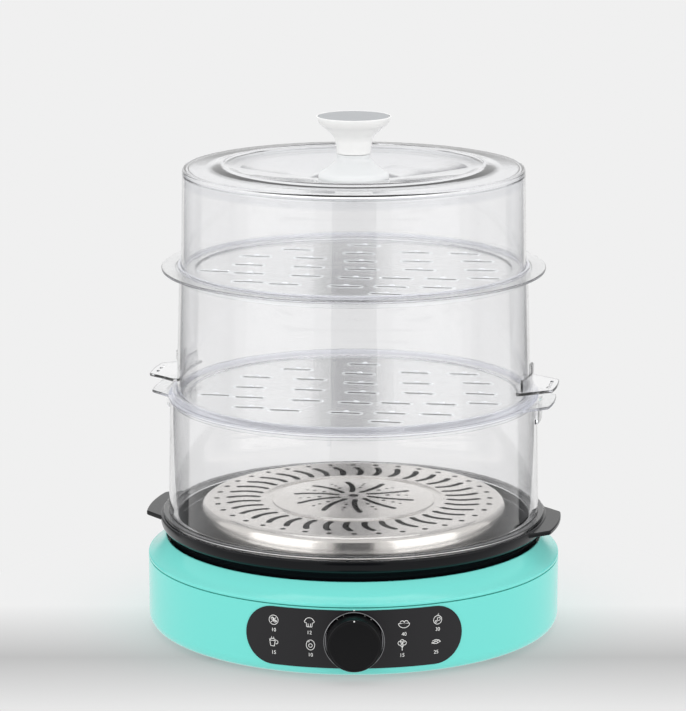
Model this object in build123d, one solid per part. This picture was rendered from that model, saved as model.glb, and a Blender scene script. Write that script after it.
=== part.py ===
from build123d import *
from math import cos, degrees, hypot, radians, sin, sqrt
import os

# Electric food steamer: heated base, shallow pan, steel steam plate, two clear tiers with drip trays and
# a clear hood. Millimetres, +Z up, origin on the worktop under the middle of the base. The control panel
# faces -Y and the cord leaves at +Y.

# ---- base shell ----------------------------------------------------------------------------------
BASE_R = 150.0            # outside of the upright wall
FEET_H = 2.5              # feet below the floor
HOUSING_H = 49.6          # lower housing, without feet
EDGE_W = 5.5              # rounded bottom edge
EDGE_H = 6.0
SHELL = 3.0
FLOOR_T = 3.0
SEAM_GAP = 0.8
LIP_H = 1.9               # upright edge of the top cover
LIP_ROUND = 1.3
SHOULDER_W = 13.7         # from the wall in to the well
SHOULDER_H = 12.7         # from the lip up to the well's edge
SHOULDER_SAG = 1.2        # hollow of the shoulder below its chord
COVER_T = 2.4
NECK_H = 10.5             # upright wall that hangs from the well's edge
NECK_T = 2.2
TONGUE_H = 3.2
TONGUE_T = 2.0
FIT = 0.1                 # between fixed mouldings
POST_COUNT = 4
POST_R = 4.0
POST_INSET = 8.0          # posts' ring in from the outside
SCREW_R = 1.4
SCREW_HEAD_R = 3.1
SCREW_HEAD_H = 2.4
SCREW_BITE = 14.0
HEAD_DEEP = 18.0          # housing screws' heads up from the floor's underside
FOOT_R = 11.0
FOOT_INSET = 28.0
FOOT_RECESS = 1.2
PLATE_INSET = 3.5         # floor plate's edge in from the inner wall
PLATE_LAP = 2.5
VENT_COUNT = 16
VENT_RING_R = 70.0
VENT_L = 30.0
VENT_W = 3.0

# ---- heater --------------------------------------------------------------------------------------
PAN_SINK = 25.2           # heating plate's face below the well's edge
HEATER_R = 98.0
HEATER_T = 8.0
SHEET_T = 1.0
SHIELD_GAP = 6.0          # round the heating plate
SHIELD_DROP = 11.3        # shield's flange below the heating plate's face
SHIELD_DEPTH = 13.0
LINER_T = 0.8
LINER_GAP = 0.3           # liner inside the neck's edge
LINER_LEAN = 4.0
BOSS_RING_R = 46.0
BOSS_R = 5.0
HEATER_SCREW_R = 1.7
HEATER_SCREW_BITE = 8.0
ELEMENT_RING_R = 72.0
ELEMENT_R = 4.0
ELEMENT_DROP = 5.7        # element's centre below the heating plate's underside
ELEMENT_GAP_DEG = 20.0
RIB_WALL = 4.0
PIN_R = 2.6
PIN_REACH = 0.28          # pins' ends up from the floor, as a share of the room under the shield
SENSOR_CAP_R = 12.5
SENSOR_CAP_T = 1.7
SENSOR_STEM_R = 3.2
SENSOR_TRAVEL = 1.5
HOLDER_R = 10.0
HOLDER_H = 6.0
SPRING_R = 6.0
WIRE_R = 0.6
SPRING_TURNS = 5
FUSE_X = -30.0

# ---- wiring --------------------------------------------------------------------------------------
GLAND_Z = 20.0
GLAND_NECK_R = 6.5
GLAND_BORE_R = 3.7
GLAND_FLANGE = 2.2
GLAND_OUT = 12.0
GLAND_IN = 4.0
CLAMP_INSET = 10.0
CLAMP_L = 6.0
CLAMP_W = 22.0
TERMINAL_INSET = 23.0
TERMINAL_L = 36.0
TERMINAL_D = 16.0
TERMINAL_H = 12.0
TERMINAL_PITCH = 11.0
LEAD_R = 1.6
LEAD_RISE = 0.52          # leads' axis up from the floor, as a share of the same room
POWER_INSET = 23.0
POWER_W = 28.0
POWER_L = 76.0
POWER_LIFT = 3.5
BOARD_T = 1.6
TALL_SHIFT = 2.0          # tall components in from the middle of the room beside the shield
RELAY_L = 20.0
RELAY_W = 16.0
RELAY_H = 15.0
CAPACITOR_L = 26.0
CAPACITOR_W = 12.0
CAPACITOR_H = 12.0
TALL_Y = 18.0             # relay and capacitor each side of the board's middle

# ---- controls ------------------------------------------------------------------------------------
PANEL_HALF_DEG = 30.0
PANEL_LOW = 0.5           # panel's edge above the rounded bottom edge
PANEL_TOP = 1.2           # panel's edge below the seam
PANEL_POCKET = 0.5
PANEL_PROUD = 0.5
KNOB_DROP = 1.4           # knob's axis below the panel's middle
KNOB_H = 15.0
KNOB_TAPER = 1.0
KNOB_LIFT = 1.5
KNOB_GAP = 0.7
KNOB_PUSH = 0.5
CUP_T = 0.6
CUP_INSET = 0.05          # cup's wall in from the panel's top and bottom edges
CUP_STAND = 1.1
CUP_FLOOR = 2.0
CUP_IN = 3.0              # cup behind the wall's inner face
SHAFT_R = 3.0
SHAFT_BITE = 8.0
RUN = 0.08
ENCODER_GAP = 1.0
ENCODER_D = 6.0
ENCODER_W = 13.0
ENCODER_WALL = 1.0
ROTOR_R = 4.6
BOARD_HALF_W = 34.0
BOARD_LIFT = 4.5
BOARD_TOP = 3.0           # board's edge below the tongue
CLIP_X = 26.0

# ---- pan and steam plate -------------------------------------------------------------------------
TURN = -11.0              # grips' direction on the right, from +X
PAN_GAP = 1.7             # pan to the well's edge
PAN_T = 2.8
PAN_H = 40.7
PAN_RIM_OUT = 6.4
PAN_RIM_T = 7.5
PAN_FLOOR_IN = 14.3       # flat floor in from the inner wall
PAN_EAR_OUT = 10.5
PAN_EAR_T = 3.3
PAN_EAR_DROP = 0.7
PLATE_GAP = 1.5           # skirt's foot to the edge of the pan's flat floor
PLATE_FLARE = 5.2
PLATE_H = 47.1
PLATE_T = 0.9
GROOVE_IN = 59.0
GROOVE_W = 7.0
GROOVE_D = 1.2
DOME_H = 2.0              # rise of the middle inside the groove
HOLE_COUNT = 36
HOLE_INSET = 10.9
HOLE_R = 2.2
RAY_W = 4.6
RAY_INSET = 6.9           # rays' outer end in from the ring of holes
RAY_START = 2.0           # rays' inner end out from the groove
RAY_BOW = 2.3
RAY_LAG_DEG = 3.5
STAR_COUNT = 10
STAR_IN = 10.0
STAR_OUT = 45.0
STAR_BOW = 2.0
STAR_TURN = 96.0
STAR_W = 4.2
CENTRE_HOLE_R = 4.0

# ---- clear stack ---------------------------------------------------------------------------------
CLEAR_T = 2.4
REST = 0.3                # round a wall that stands in a rim
SPIGOT_GAP = 1.6
SPIGOT_T = 2.2
SPIGOT_H = 7.0
TIER1_STEP = 4.7          # wall outside the spigot
TIER1_TAPER = 1.7
TIER1_H = 86.5
TIER1_FLANGE_T = 2.5
TIER1_FLANGE_IN = 2.0     # flange in from the pan's rim
TRAY_T = 2.0
TRAY1_LIP = 1.3           # flange out from the lower wall
TRAY1_RIM_IN = 1.5
TRAY1_RIM_T = 3.0
TRAY1_RIM_H = 4.5
TRAY1_SKIRT_H = 7.5
TRAY1_SKIRT_T = 2.3
TRAY1_EAR_OUT = 12.5
FLOOR_UP = 1.0            # tray's floor above its flange
BEAD_IN = 13.2            # bead's inner edge in from the rim
BEAD_W = 5.5
BEAD_H = 1.0
TAB1_GAP = 2.0
TAB1_T = 2.0
TAB1_H = 13.0
TAB1_SLANT = 6.0          # height of the slanted corner
TAB_HALF_DEG = 5.5
TIER2_TAPER = 2.8
TIER2_H = 92.5
COLLAR_UP = 9.7
COLLAR_T = 2.2
COLLAR_OUT = 2.8
TIER2_EAR_OUT = 20.6
TAB2_T = 1.8
TAB2_H = 15.0
TAB2_LAG_DEG = 5.5        # tab's middle behind the grip's
TAB2_HALF_DEG = 7.0
TAB2_POST_DEG = 4.0       # ribbed post at the tab's far end
RIB_COUNT = 4
RIB_H = 0.8
RIB_PITCH = 1.7
TRAY2_T = 1.9
TRAY2_OUT = 12.9
TRAY2_SKIRT_GAP = 0.7
TRAY2_SKIRT_T = 2.0
TRAY2_SKIRT_H = 5.0
TRAY2_SPIGOT_GAP = 0.8
TRAY2_DEPTH = 2.4
TRAY2_FLOOR_IN = 12.1     # floor's edge in from the upper wall
TRAY2_STEP_W = 8.0
FENCE_T = 2.0
FENCE_H = 1.5
SLOT_L = 20.7
SLOT_W = 2.8
SLOT_TURN = -10.0
SLOT_EDGE = 1.5
SLOT_FIELD_R = 113.5      # radius of the floor that the slots' centres are laid out on
SLOT_CENTRES = [
    (-100, -13), (-75, -21), (-74, -53), (-49, -62), (-34, -31), (-33, 3.5), (-32, 38.5), (5, 25), (6, -6),
    (1, -39), (-6, -70), (30, -40), (26, -71.5), (22, -98), (47, -8), (46, 25), (46, 61), (62, -43),
    (58, -75), (91.5, -10), (90.5, 25), (92.5, -41), (-76, 12), (-72, 46), (-42, 73), (4, 57), (8, 90),
    (82, 56),
]

# ---- lid -----------------------------------------------------------------------------------------
LID_IN = 1.3              # foot in from the upper wall
LID_TAPER = 1.3
LID_H = 71.5
LID_GROOVE_IN = 19.0      # groove in from the top's edge
RIDGE_IN = 10.0           # ridge in from the groove
RIDGE_H = 2.6
DISH_D = 8.9
DISH_R = 28.0
VENT_START = 69.5
VENT_SPAN = 10.5
VENT_OUT = 2.6
KNOB_BASE_R = 25.5
KNOB_NECK_R = 12.2
KNOB_SEAM_H = 18.4
LID_KNOB_H = 45.3
KNOB_TOP_R = 26.8
CAP_INSET = 1.0
CAP_T = 1.6
KNOB_SCREW_R = 2.0
KNOB_SCREW_BITE = 12.0
WASHER_R = 8.0
WASHER_T = 1.2

# ---- heights and radii that follow ----------------------------------------------------------------
FLOOR_Z = FEET_H
FLOOR_TOP = FLOOR_Z + FLOOR_T
EDGE_TOP = FLOOR_Z + EDGE_H
HOUSING_TOP = FLOOR_Z + HOUSING_H
COVER_Z = HOUSING_TOP + SEAM_GAP
LIP_Z = COVER_Z + LIP_H
WELL_Z = LIP_Z + SHOULDER_H
NECK_Z = WELL_Z - NECK_H
INNER_R = BASE_R - SHELL
FLOOR_R = BASE_R - EDGE_W
FLOOR_PLATE_R = INNER_R - PLATE_INSET
REBATE_Z = (FLOOR_Z + FLOOR_TOP) / 2
TONGUE_R = INNER_R - FIT
WELL_R = BASE_R - SHOULDER_W
NECK_R = WELL_R + NECK_T
POST_RING_R = BASE_R - POST_INSET
HEATER_Z = WELL_Z - PAN_SINK
HEATER_UNDER = HEATER_Z - HEATER_T
FLANGE_Z = HEATER_Z - SHIELD_DROP
FLANGE_TOP = FLANGE_Z + SHEET_T
SHIELD_Z = FLANGE_Z - SHIELD_DEPTH
SHIELD_TOP = SHIELD_Z + SHEET_T
SHIELD_R = HEATER_R + SHIELD_GAP + SHEET_T
PIN_END_Z = FLOOR_TOP + PIN_REACH * (SHIELD_Z - FLOOR_TOP)
LEAD_Z = FLOOR_TOP + LEAD_RISE * (SHIELD_Z - FLOOR_TOP)
POWER_X = POWER_INSET - INNER_R
TALL_X = TALL_SHIFT - (SHIELD_R + INNER_R) / 2
ELEMENT_Z = HEATER_UNDER - ELEMENT_DROP
HOLDER_TOP = SHIELD_TOP + HOLDER_H
PANEL_Z0 = EDGE_TOP + PANEL_LOW
PANEL_Z1 = HOUSING_TOP - PANEL_TOP
PANEL_Z = (PANEL_Z0 + PANEL_Z1) / 2
PANEL_H = PANEL_Z1 - PANEL_Z0
KNOB_Z = PANEL_Z - KNOB_DROP
PANEL_FACE = BASE_R + PANEL_PROUD
CUP_R = PANEL_H / 2 - CUP_INSET
KNOB_R = CUP_R - CUP_T - KNOB_GAP
KNOB_FACE_R = KNOB_R - KNOB_TAPER
CUP_FRONT = PANEL_FACE + CUP_STAND
CUP_BACK = INNER_R - CUP_IN
KNOB_BACK = CUP_BACK + CUP_FLOOR + KNOB_LIFT
KNOB_FRONT = KNOB_BACK + KNOB_H
ENCODER_FRONT = CUP_BACK - ENCODER_GAP
BOARD_FRONT = ENCODER_FRONT - ENCODER_D
BOARD_BACK = BOARD_FRONT - BOARD_T
BOARD_Z0 = FLOOR_TOP + BOARD_LIFT
BOARD_Z1 = COVER_Z - TONGUE_H - BOARD_TOP
PAN_R = WELL_R - PAN_GAP
PAN_MOUTH_R = PAN_R - PAN_T
PAN_FLOOR_Z = HEATER_Z + PAN_T
PAN_RIM_Z = HEATER_Z + PAN_H
PAN_RIM_R = PAN_R + PAN_RIM_OUT
PAN_FLOOR_R = PAN_MOUTH_R - PAN_FLOOR_IN
PLATE_FOOT_R = PAN_FLOOR_R - PLATE_GAP
PLATE_R = PLATE_FOOT_R - PLATE_FLARE
PLATE_Z = PAN_FLOOR_Z + PLATE_H
HOLE_RING_R = PLATE_R - HOLE_INSET
SPIGOT_R = PAN_MOUTH_R - SPIGOT_GAP
TIER1_R = SPIGOT_R + TIER1_STEP
TIER1_TOP_R = TIER1_R - TIER1_TAPER
TIER1_FLANGE_R = PAN_RIM_R - TIER1_FLANGE_IN
TRAY1_Z = PAN_RIM_Z + TIER1_H
TRAY1_R = TIER1_TOP_R + TRAY1_LIP
TRAY1_RIM_R = TIER1_TOP_R - TRAY1_RIM_IN
BEAD_R = TRAY1_RIM_R - BEAD_IN
TIER2_Z = TRAY1_Z + TRAY_T
TIER2_R = TRAY1_RIM_R - TRAY1_RIM_T - REST
TIER2_TOP_R = TIER2_R - TIER2_TAPER
TRAY2_Z = TIER2_Z + TIER2_H
TRAY2_R = TIER2_TOP_R + TRAY2_OUT
TRAY2_FLOOR_R = TIER2_TOP_R - TRAY2_FLOOR_IN
SLOT_SCALE = TRAY2_FLOOR_R / SLOT_FIELD_R
LID_Z = TRAY2_Z + TRAY2_T
LID_R = TIER2_TOP_R - LID_IN
LID_TOP_R = LID_R - LID_TAPER
LID_TOP_Z = LID_Z + LID_H
GROOVE_R = LID_TOP_R - LID_GROOVE_IN
DISH_Z = LID_TOP_Z - DISH_D
KNOB_SEAM = DISH_Z + KNOB_SEAM_H
KNOB_TOP = DISH_Z + LID_KNOB_H


# ---- helpers -------------------------------------------------------------------------------------
def lathe(*points, arc=360.0):
    """Turns a closed outline of (radius, height) points about Z."""
    outline = Polyline(*[(r, 0, z) for r, z in points], close=True)
    return revolve(make_face(outline), axis=Axis.Z, revolution_arc=arc)


def ring(outer, inner, z0, z1):
    """A flat-ended ring, or a disc where inner is 0."""
    return lathe((inner, z0), (outer, z0), (outer, z1), (inner, z1))


def sector(outer, inner, z0, z1, start_deg, end_deg):
    """A stretch of ring between two directions counted from +X."""
    piece = lathe((inner, z0), (outer, z0), (outer, z1), (inner, z1), arc=end_deg - start_deg)
    return Rot(0, 0, start_deg) * piece


def polar(radius, angle_deg, z=0.0):
    """A place on a circle about Z, with its local X pointing outwards."""
    turn = radians(angle_deg)
    return Pos(radius * cos(turn), radius * sin(turn), z) * Rot(0, 0, angle_deg)


def rod(radius, start, end):
    """A round bar from one point to another."""
    a, b = Vector(*start), Vector(*end)
    return extrude(Plane(origin=a, z_dir=b - a) * Circle(radius), (b - a).length)


def bar_y(y0, y1, radius, x=0.0, z=KNOB_Z):
    """A round bar along Y."""
    return Pos(x, (y0 + y1) / 2, z) * Rot(90, 0, 0) * Cylinder(radius, abs(y1 - y0))


def stub(place, radius, z0, z1):
    """A round upright stub at a place in plan."""
    return Pos(0, 0, (z0 + z1) / 2) * place * Cylinder(radius, z1 - z0)


def post_places():
    return [polar(POST_RING_R, 45 + index * 360 / POST_COUNT) for index in range(POST_COUNT)]


def boss_places():
    return [polar(BOSS_RING_R, angle) for angle in (30, 150, 270)]


def pin_places():
    return [polar(ELEMENT_RING_R, 90 + side * ELEMENT_GAP_DEG / 2) for side in (-1, 1)]


def foot_places():
    return [polar(BASE_R - FOOT_INSET, angle) for angle in (45, 135, 225, 315)]


def shoulder_circle():
    """Centre and radius of the circle that the hollow shoulder follows."""
    r1, z1 = BASE_R - LIP_ROUND, LIP_Z + 0.8
    r2, z2 = WELL_R + LIP_ROUND, WELL_Z - 0.5
    half = hypot(r1 - r2, z2 - z1) / 2
    radius = (half ** 2 + SHOULDER_SAG ** 2) / (2 * SHOULDER_SAG)
    reach = (radius - SHOULDER_SAG) / (2 * half)
    return (r1 + r2) / 2 + (z2 - z1) * reach, (z1 + z2) / 2 + (r1 - r2) * reach, radius


def shoulder(r, depth=0.0):
    """The point of the shoulder at a radius, or of its underside at a depth below the surface."""
    centre_r, centre_z, radius = shoulder_circle()
    return r, 0, centre_z - sqrt((radius + depth) ** 2 - (centre_r - r) ** 2)


# ---- base ----------------------------------------------------------------------------------------
def panel_shape(outer, inner, grow=0.0):
    """Stretch of skin wrapped round the front, with round ends."""
    end_r = PANEL_H / 2
    end_deg = PANEL_HALF_DEG - degrees(end_r / BASE_R)
    z0, z1 = PANEL_Z0 - grow, PANEL_Z1 + grow
    shape = sector(outer, inner, z0, z1, -90 - end_deg, -90 + end_deg)
    skin = sector(outer, inner, z0 - 1, z1 + 1, -90 - 2 * end_deg, -90 + 2 * end_deg)
    for side in (-1, 1):
        drill = polar(BASE_R, -90 + side * end_deg, PANEL_Z) * Rot(0, 90, 0) * Cylinder(end_r + grow, 30)
        shape += drill & skin
    return shape


def base_housing():
    """Outer wall with its rounded foot, whose ledge carries the floor plate."""
    body = lathe(
        (FLOOR_PLATE_R, FLOOR_Z), (FLOOR_R, FLOOR_Z), (FLOOR_R + 0.5 * EDGE_W, FLOOR_Z + 0.18 * EDGE_H),
        (FLOOR_R + 0.86 * EDGE_W, FLOOR_Z + 0.55 * EDGE_H), (BASE_R, EDGE_TOP), (BASE_R, HOUSING_TOP),
        (INNER_R, HOUSING_TOP), (INNER_R, FLOOR_TOP), (FLOOR_PLATE_R + PLATE_LAP, FLOOR_TOP),
        (FLOOR_PLATE_R + PLATE_LAP, REBATE_Z), (FLOOR_PLATE_R, REBATE_Z),
    )
    for place in post_places():
        body -= stub(place, SCREW_HEAD_R + 0.3, FLOOR_Z - 1, FLOOR_TOP + 1)
    body -= panel_shape(BASE_R + 5, BASE_R - PANEL_POCKET, FIT)
    body -= bar_y(-BASE_R - 5, -CUP_BACK, CUP_R + FIT)
    return body - bar_y(INNER_R - 5, BASE_R + 5, GLAND_NECK_R, z=GLAND_Z)


def floor_plate():
    """Slotted floor with the screw posts, the board's clips and the feet's recesses."""
    plate = ring(FLOOR_PLATE_R, 0, FLOOR_Z, FLOOR_TOP)
    plate += ring(FLOOR_PLATE_R + PLATE_LAP, 0, REBATE_Z, FLOOR_TOP)
    for index in range(VENT_COUNT):
        plate -= polar(VENT_RING_R, (index + 0.5) * 360 / VENT_COUNT, FLOOR_Z) * Box(VENT_L, VENT_W, 3 * FLOOR_T)
    for place in post_places():
        plate += stub(place, POST_R + 1.5, FLOOR_TOP, FLANGE_Z) & ring(INNER_R - FIT, 0, FLOOR_Z, FLANGE_Z)
        plate -= stub(place, SCREW_HEAD_R + 0.3, FLOOR_Z - 1, FLOOR_Z + HEAD_DEEP)
        plate -= stub(place, SCREW_R + 0.3, FLOOR_Z, FLANGE_Z + 1)
    for x in (-CLIP_X, CLIP_X):
        clip_h = BOARD_LIFT + 3
        clip_y = -(BOARD_FRONT + BOARD_BACK) / 2
        plate += Pos(x, clip_y, FLOOR_TOP + clip_h / 2) * Box(6, BOARD_T + 3, clip_h)
        plate -= Pos(x, clip_y, BOARD_Z0 + 5) * Box(8, BOARD_T + FIT, 10)
    for x, y in power_corners():
        plate += stub(Pos(x, y, 0), 3, FLOOR_TOP - 1, FLOOR_TOP + POWER_LIFT)
    for place in foot_places():
        plate -= stub(place, FOOT_R + FIT, FLOOR_Z - 1, FLOOR_Z + FOOT_RECESS)
    return plate


def base_top_cover():
    """Ring that closes the housing: upright lip, hollow shoulder, and a neck that lines the well's edge."""
    tongue_in = TONGUE_R - TONGUE_T
    over_a, over_b = (BASE_R - LIP_ROUND, 0), (WELL_R + LIP_ROUND, 0)
    under_mid = (tongue_in + NECK_R) / 2
    edge = Polyline(
        shoulder(NECK_R, COVER_T), (NECK_R, 0, NECK_Z), (WELL_R, 0, NECK_Z), (WELL_R, 0, WELL_Z - 0.6),
        (WELL_R + 0.5, 0, WELL_Z), shoulder(over_b[0]),
    )
    over = ThreePointArc(shoulder(over_b[0]), shoulder((over_a[0] + over_b[0]) / 2), shoulder(over_a[0]))
    lip = Polyline(
        shoulder(over_a[0]), (BASE_R, 0, LIP_Z), (BASE_R, 0, COVER_Z), (TONGUE_R, 0, COVER_Z),
        (TONGUE_R, 0, COVER_Z - TONGUE_H), (tongue_in, 0, COVER_Z - TONGUE_H), shoulder(tongue_in, COVER_T),
    )
    under = ThreePointArc(
        shoulder(tongue_in, COVER_T), shoulder(under_mid, COVER_T), shoulder(NECK_R, COVER_T))
    cover = revolve(make_face(edge + over + lip + under), axis=Axis.Z)
    low = POST_RING_R - POST_R - 1
    half = COVER_T / 2
    core = [(low, FLANGE_TOP), (TONGUE_R, FLANGE_TOP), (TONGUE_R, shoulder(tongue_in, half)[2])]
    core += [(r, shoulder(r, half)[2]) for r in (tongue_in, under_mid, NECK_R)]
    core += [(low, shoulder(NECK_R, half)[2])]
    filling = lathe(*core)
    for place in post_places():
        cover += stub(place, POST_R, FLANGE_TOP, WELL_Z) & filling
        cover -= stub(place, SCREW_R, FLANGE_TOP - 1, FLANGE_TOP + SCREW_BITE)
    return cover - bar_y(-BASE_R + 1, -CUP_BACK + 1, CUP_R + 0.6)


def control_panel():
    skin = panel_shape(PANEL_FACE, BASE_R - PANEL_POCKET)
    return skin - bar_y(-BASE_R - 5, -CUP_BACK, CUP_R + FIT)


def knob_bezel():
    """Bright cup that the knob turns in, with a thin flange on the panel."""
    flange = bar_y(-CUP_FRONT, -PANEL_FACE + 2, CUP_R + 0.5) - Pos(0, 0, KNOB_Z) * Cylinder(PANEL_FACE, 100)
    cup = bar_y(-CUP_FRONT, -CUP_BACK, CUP_R) + flange
    cup -= bar_y(-CUP_FRONT - 1, -CUP_BACK - CUP_FLOOR, CUP_R - CUP_T)
    return cup - bar_y(-CUP_FRONT, -CUP_BACK + 1, SHAFT_R + RUN)


def rubber_feet():
    pads = []
    for place in foot_places():
        pad = stub(place, FOOT_R, 0, FEET_H + FOOT_RECESS)
        pads.append(chamfer(pad.edges().group_by(Axis.Z)[0], 0.8))
    return Compound(pads)


def housing_screws():
    screws = []
    head_z = FLOOR_Z + HEAD_DEEP
    for place in post_places():
        head = stub(place, SCREW_HEAD_R, head_z - SCREW_HEAD_H, head_z)
        screws.append(head + stub(place, SCREW_R, head_z, FLANGE_TOP + SCREW_BITE - 1))
    return Compound(screws)


# ---- heater --------------------------------------------------------------------------------------
def heat_shield():
    """Pressed dish under the heater; its flange is clamped between the housing's and the cover's posts."""
    t = SHEET_T
    dish = lathe(
        (0, SHIELD_Z), (SHIELD_R, SHIELD_Z), (SHIELD_R, FLANGE_Z), (TONGUE_R - 1.4, FLANGE_Z),
        (TONGUE_R - 1.4, FLANGE_TOP), (SHIELD_R - t, FLANGE_TOP), (SHIELD_R - t, SHIELD_TOP), (0, SHIELD_TOP),
    )
    for place in post_places():
        dish -= stub(place, SCREW_R + 0.4, FLANGE_Z - 1, FLANGE_TOP + 1)
    for place in boss_places():
        dish -= stub(place, HEATER_SCREW_R + 0.3, SHIELD_Z - 1, SHIELD_TOP + 1)
    for place in pin_places():
        dish -= stub(place, PIN_R + 2.5, SHIELD_Z - 1, SHIELD_TOP + 1)
    notch = Box(2 * BOARD_HALF_W + 6, 40, 6)
    return dish - Pos(0, -BOARD_BACK + 3 - 20, FLANGE_Z) * notch


def well_liner():
    """Metal wall of the well, from the shield's flange up to the neck."""
    t = LINER_T
    top_r = WELL_R - LINER_GAP
    foot_r = top_r - LINER_LEAN
    return lathe(
        (HEATER_R + 3, FLANGE_TOP), (foot_r, FLANGE_TOP), (top_r, NECK_Z - t), (WELL_R + 1.4, NECK_Z - t),
        (WELL_R + 1.4, NECK_Z), (top_r - t, NECK_Z), (foot_r - t, FLANGE_TOP + t), (HEATER_R + 3, FLANGE_TOP + t),
    )


def heating_plate():
    """Cast plate with a ribbed groove under it for the tubular element and three bosses."""
    rib = ELEMENT_R + RIB_WALL
    plate = ring(HEATER_R, SENSOR_CAP_R + 1, HEATER_UNDER, HEATER_Z)
    plate += ring(ELEMENT_RING_R + rib, ELEMENT_RING_R - rib, ELEMENT_Z - 2, HEATER_UNDER)
    for place in boss_places():
        plate += stub(place, BOSS_R, SHIELD_TOP, HEATER_UNDER)
        plate -= stub(place, HEATER_SCREW_R, SHIELD_TOP - 1, SHIELD_TOP + HEATER_SCREW_BITE)
    channel = Pos(ELEMENT_RING_R, 0, ELEMENT_Z) * Rot(90, 0, 0) * Circle(ELEMENT_R + 0.02)
    plate -= revolve(channel, axis=Axis.Z)
    plate -= ring(ELEMENT_RING_R + ELEMENT_R, ELEMENT_RING_R - ELEMENT_R, ELEMENT_Z - 3, ELEMENT_Z)
    for place in pin_places():
        plate -= stub(place, PIN_R + 1.6, ELEMENT_Z - 3, ELEMENT_Z)
    return plate


def heating_element():
    """Sheathed tube bent to an open ring, with a cold pin down at each end."""
    section = Pos(ELEMENT_RING_R, 0, ELEMENT_Z) * Rot(90, 0, 0) * Circle(ELEMENT_R)
    tube = Rot(0, 0, 90 + ELEMENT_GAP_DEG / 2) * revolve(section, axis=Axis.Z, revolution_arc=360 - ELEMENT_GAP_DEG)
    for place in pin_places():
        tube += stub(place, PIN_R, PIN_END_Z, ELEMENT_Z)
    return tube


def heater_screws():
    screws = []
    for place in boss_places():
        head = stub(place, SCREW_HEAD_R, SHIELD_Z - SCREW_HEAD_H, SHIELD_Z)
        screws.append(head + stub(place, HEATER_SCREW_R, SHIELD_Z, SHIELD_TOP + HEATER_SCREW_BITE - 1))
    return Compound(screws)


def sensor_holder():
    return ring(HOLDER_R, 0, SHIELD_TOP, HOLDER_TOP) - ring(SENSOR_STEM_R + RUN, 0, SHIELD_TOP + 0.6, HOLDER_TOP + 1)


def sensor_plunger():
    """Sprung cap that feels the pan's underside."""
    cap_z = HEATER_Z - SENSOR_CAP_T
    cap = ring(SENSOR_CAP_R, 0, cap_z, HEATER_Z)
    return cap + ring(SENSOR_STEM_R, 0, SHIELD_TOP + 1 + SENSOR_TRAVEL, cap_z)


def sensor_spring():
    z0 = HOLDER_TOP + WIRE_R
    z1 = HEATER_Z - SENSOR_CAP_T - WIRE_R - 0.05
    path = Pos(0, 0, z0) * Helix(pitch=(z1 - z0) / SPRING_TURNS, height=z1 - z0, radius=SPRING_R)
    section = Plane(origin=path @ 0, z_dir=path % 0) * Circle(WIRE_R)
    return sweep(section, path=path, is_frenet=True)


def thermal_fuse():
    """Fuse capsule on a flat tab under the heating plate."""
    tab = Pos(FUSE_X, 0, HEATER_UNDER - 0.6) * Box(10, 26, 1.2)
    return tab + Pos(FUSE_X, 0, HEATER_UNDER - 4) * Rot(90, 0, 0) * Cylinder(3, 18)


# ---- wiring --------------------------------------------------------------------------------------
def heater_leads():
    """Two insulated leads from the element's pins to the terminal block."""
    leads = []
    block_y = INNER_R - TERMINAL_INSET - TERMINAL_D / 2 - LEAD_R / 4
    for side, place in zip((1, -1), pin_places()):
        spot = place.position
        sleeve = stub(Pos(spot.X, spot.Y, 0), PIN_R + 1.4, PIN_END_Z - 1, SHIELD_Z - 1)
        sleeve -= stub(Pos(spot.X, spot.Y, 0), PIN_R + 0.02, PIN_END_Z, SHIELD_Z)
        lead = rod(LEAD_R, (spot.X, spot.Y + PIN_R + 0.6, LEAD_Z), (side * TERMINAL_PITCH / 2, block_y, LEAD_Z))
        leads.append(sleeve + lead)
    return Compound(leads)


def terminal_block():
    y = INNER_R - TERMINAL_INSET
    block = Pos(0, y, FLOOR_TOP + TERMINAL_H / 2) * Box(TERMINAL_L, TERMINAL_D, TERMINAL_H)
    for index in (-1, 0, 1):
        block -= stub(Pos(index * TERMINAL_PITCH, y, 0), 2.6, FLOOR_TOP + TERMINAL_H - 3, FLOOR_TOP + TERMINAL_H + 1)
    return block


def cord_gland():
    """Rubber bush in the rear wall that the mains cord passes through."""
    out_y = BASE_R + GLAND_OUT
    neck_y = BASE_R + GLAND_FLANGE
    bush = bar_y(INNER_R - GLAND_IN, neck_y, GLAND_NECK_R, z=GLAND_Z)
    bush += bar_y(INNER_R - GLAND_IN, INNER_R, GLAND_NECK_R + 2, z=GLAND_Z) & ring(INNER_R, 0, 0, WELL_Z)
    bush += bar_y(BASE_R - 2, neck_y, GLAND_NECK_R + 2.5, z=GLAND_Z) - ring(BASE_R, 0, 0, WELL_Z)
    sleeve = Cone(GLAND_NECK_R, GLAND_BORE_R + 1.6, out_y - neck_y)
    bush += Pos(0, (neck_y + out_y) / 2, GLAND_Z) * Rot(-90, 0, 0) * sleeve
    return bush - bar_y(INNER_R - GLAND_IN - 1, out_y + 1, GLAND_BORE_R, z=GLAND_Z)


def cord_clamp():
    """Saddle on the floor that grips the cord inside the bush."""
    y = INNER_R - CLAMP_INSET
    height = GLAND_Z + GLAND_BORE_R + 2 - FLOOR_TOP
    saddle = Pos(0, y, FLOOR_TOP + height / 2) * Box(CLAMP_W, CLAMP_L, height)
    return saddle - bar_y(y - CLAMP_L, y + CLAMP_L, GLAND_BORE_R, z=GLAND_Z)


def power_corners():
    dx, dy = POWER_W / 2 - 5, POWER_L / 2 - 5
    return [(POWER_X + i * dx, j * dy) for i in (-1, 1) for j in (-1, 1)]


def power_board():
    return Pos(POWER_X, 0, FLOOR_TOP + POWER_LIFT + BOARD_T / 2) * Box(POWER_W, POWER_L, BOARD_T)


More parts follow.
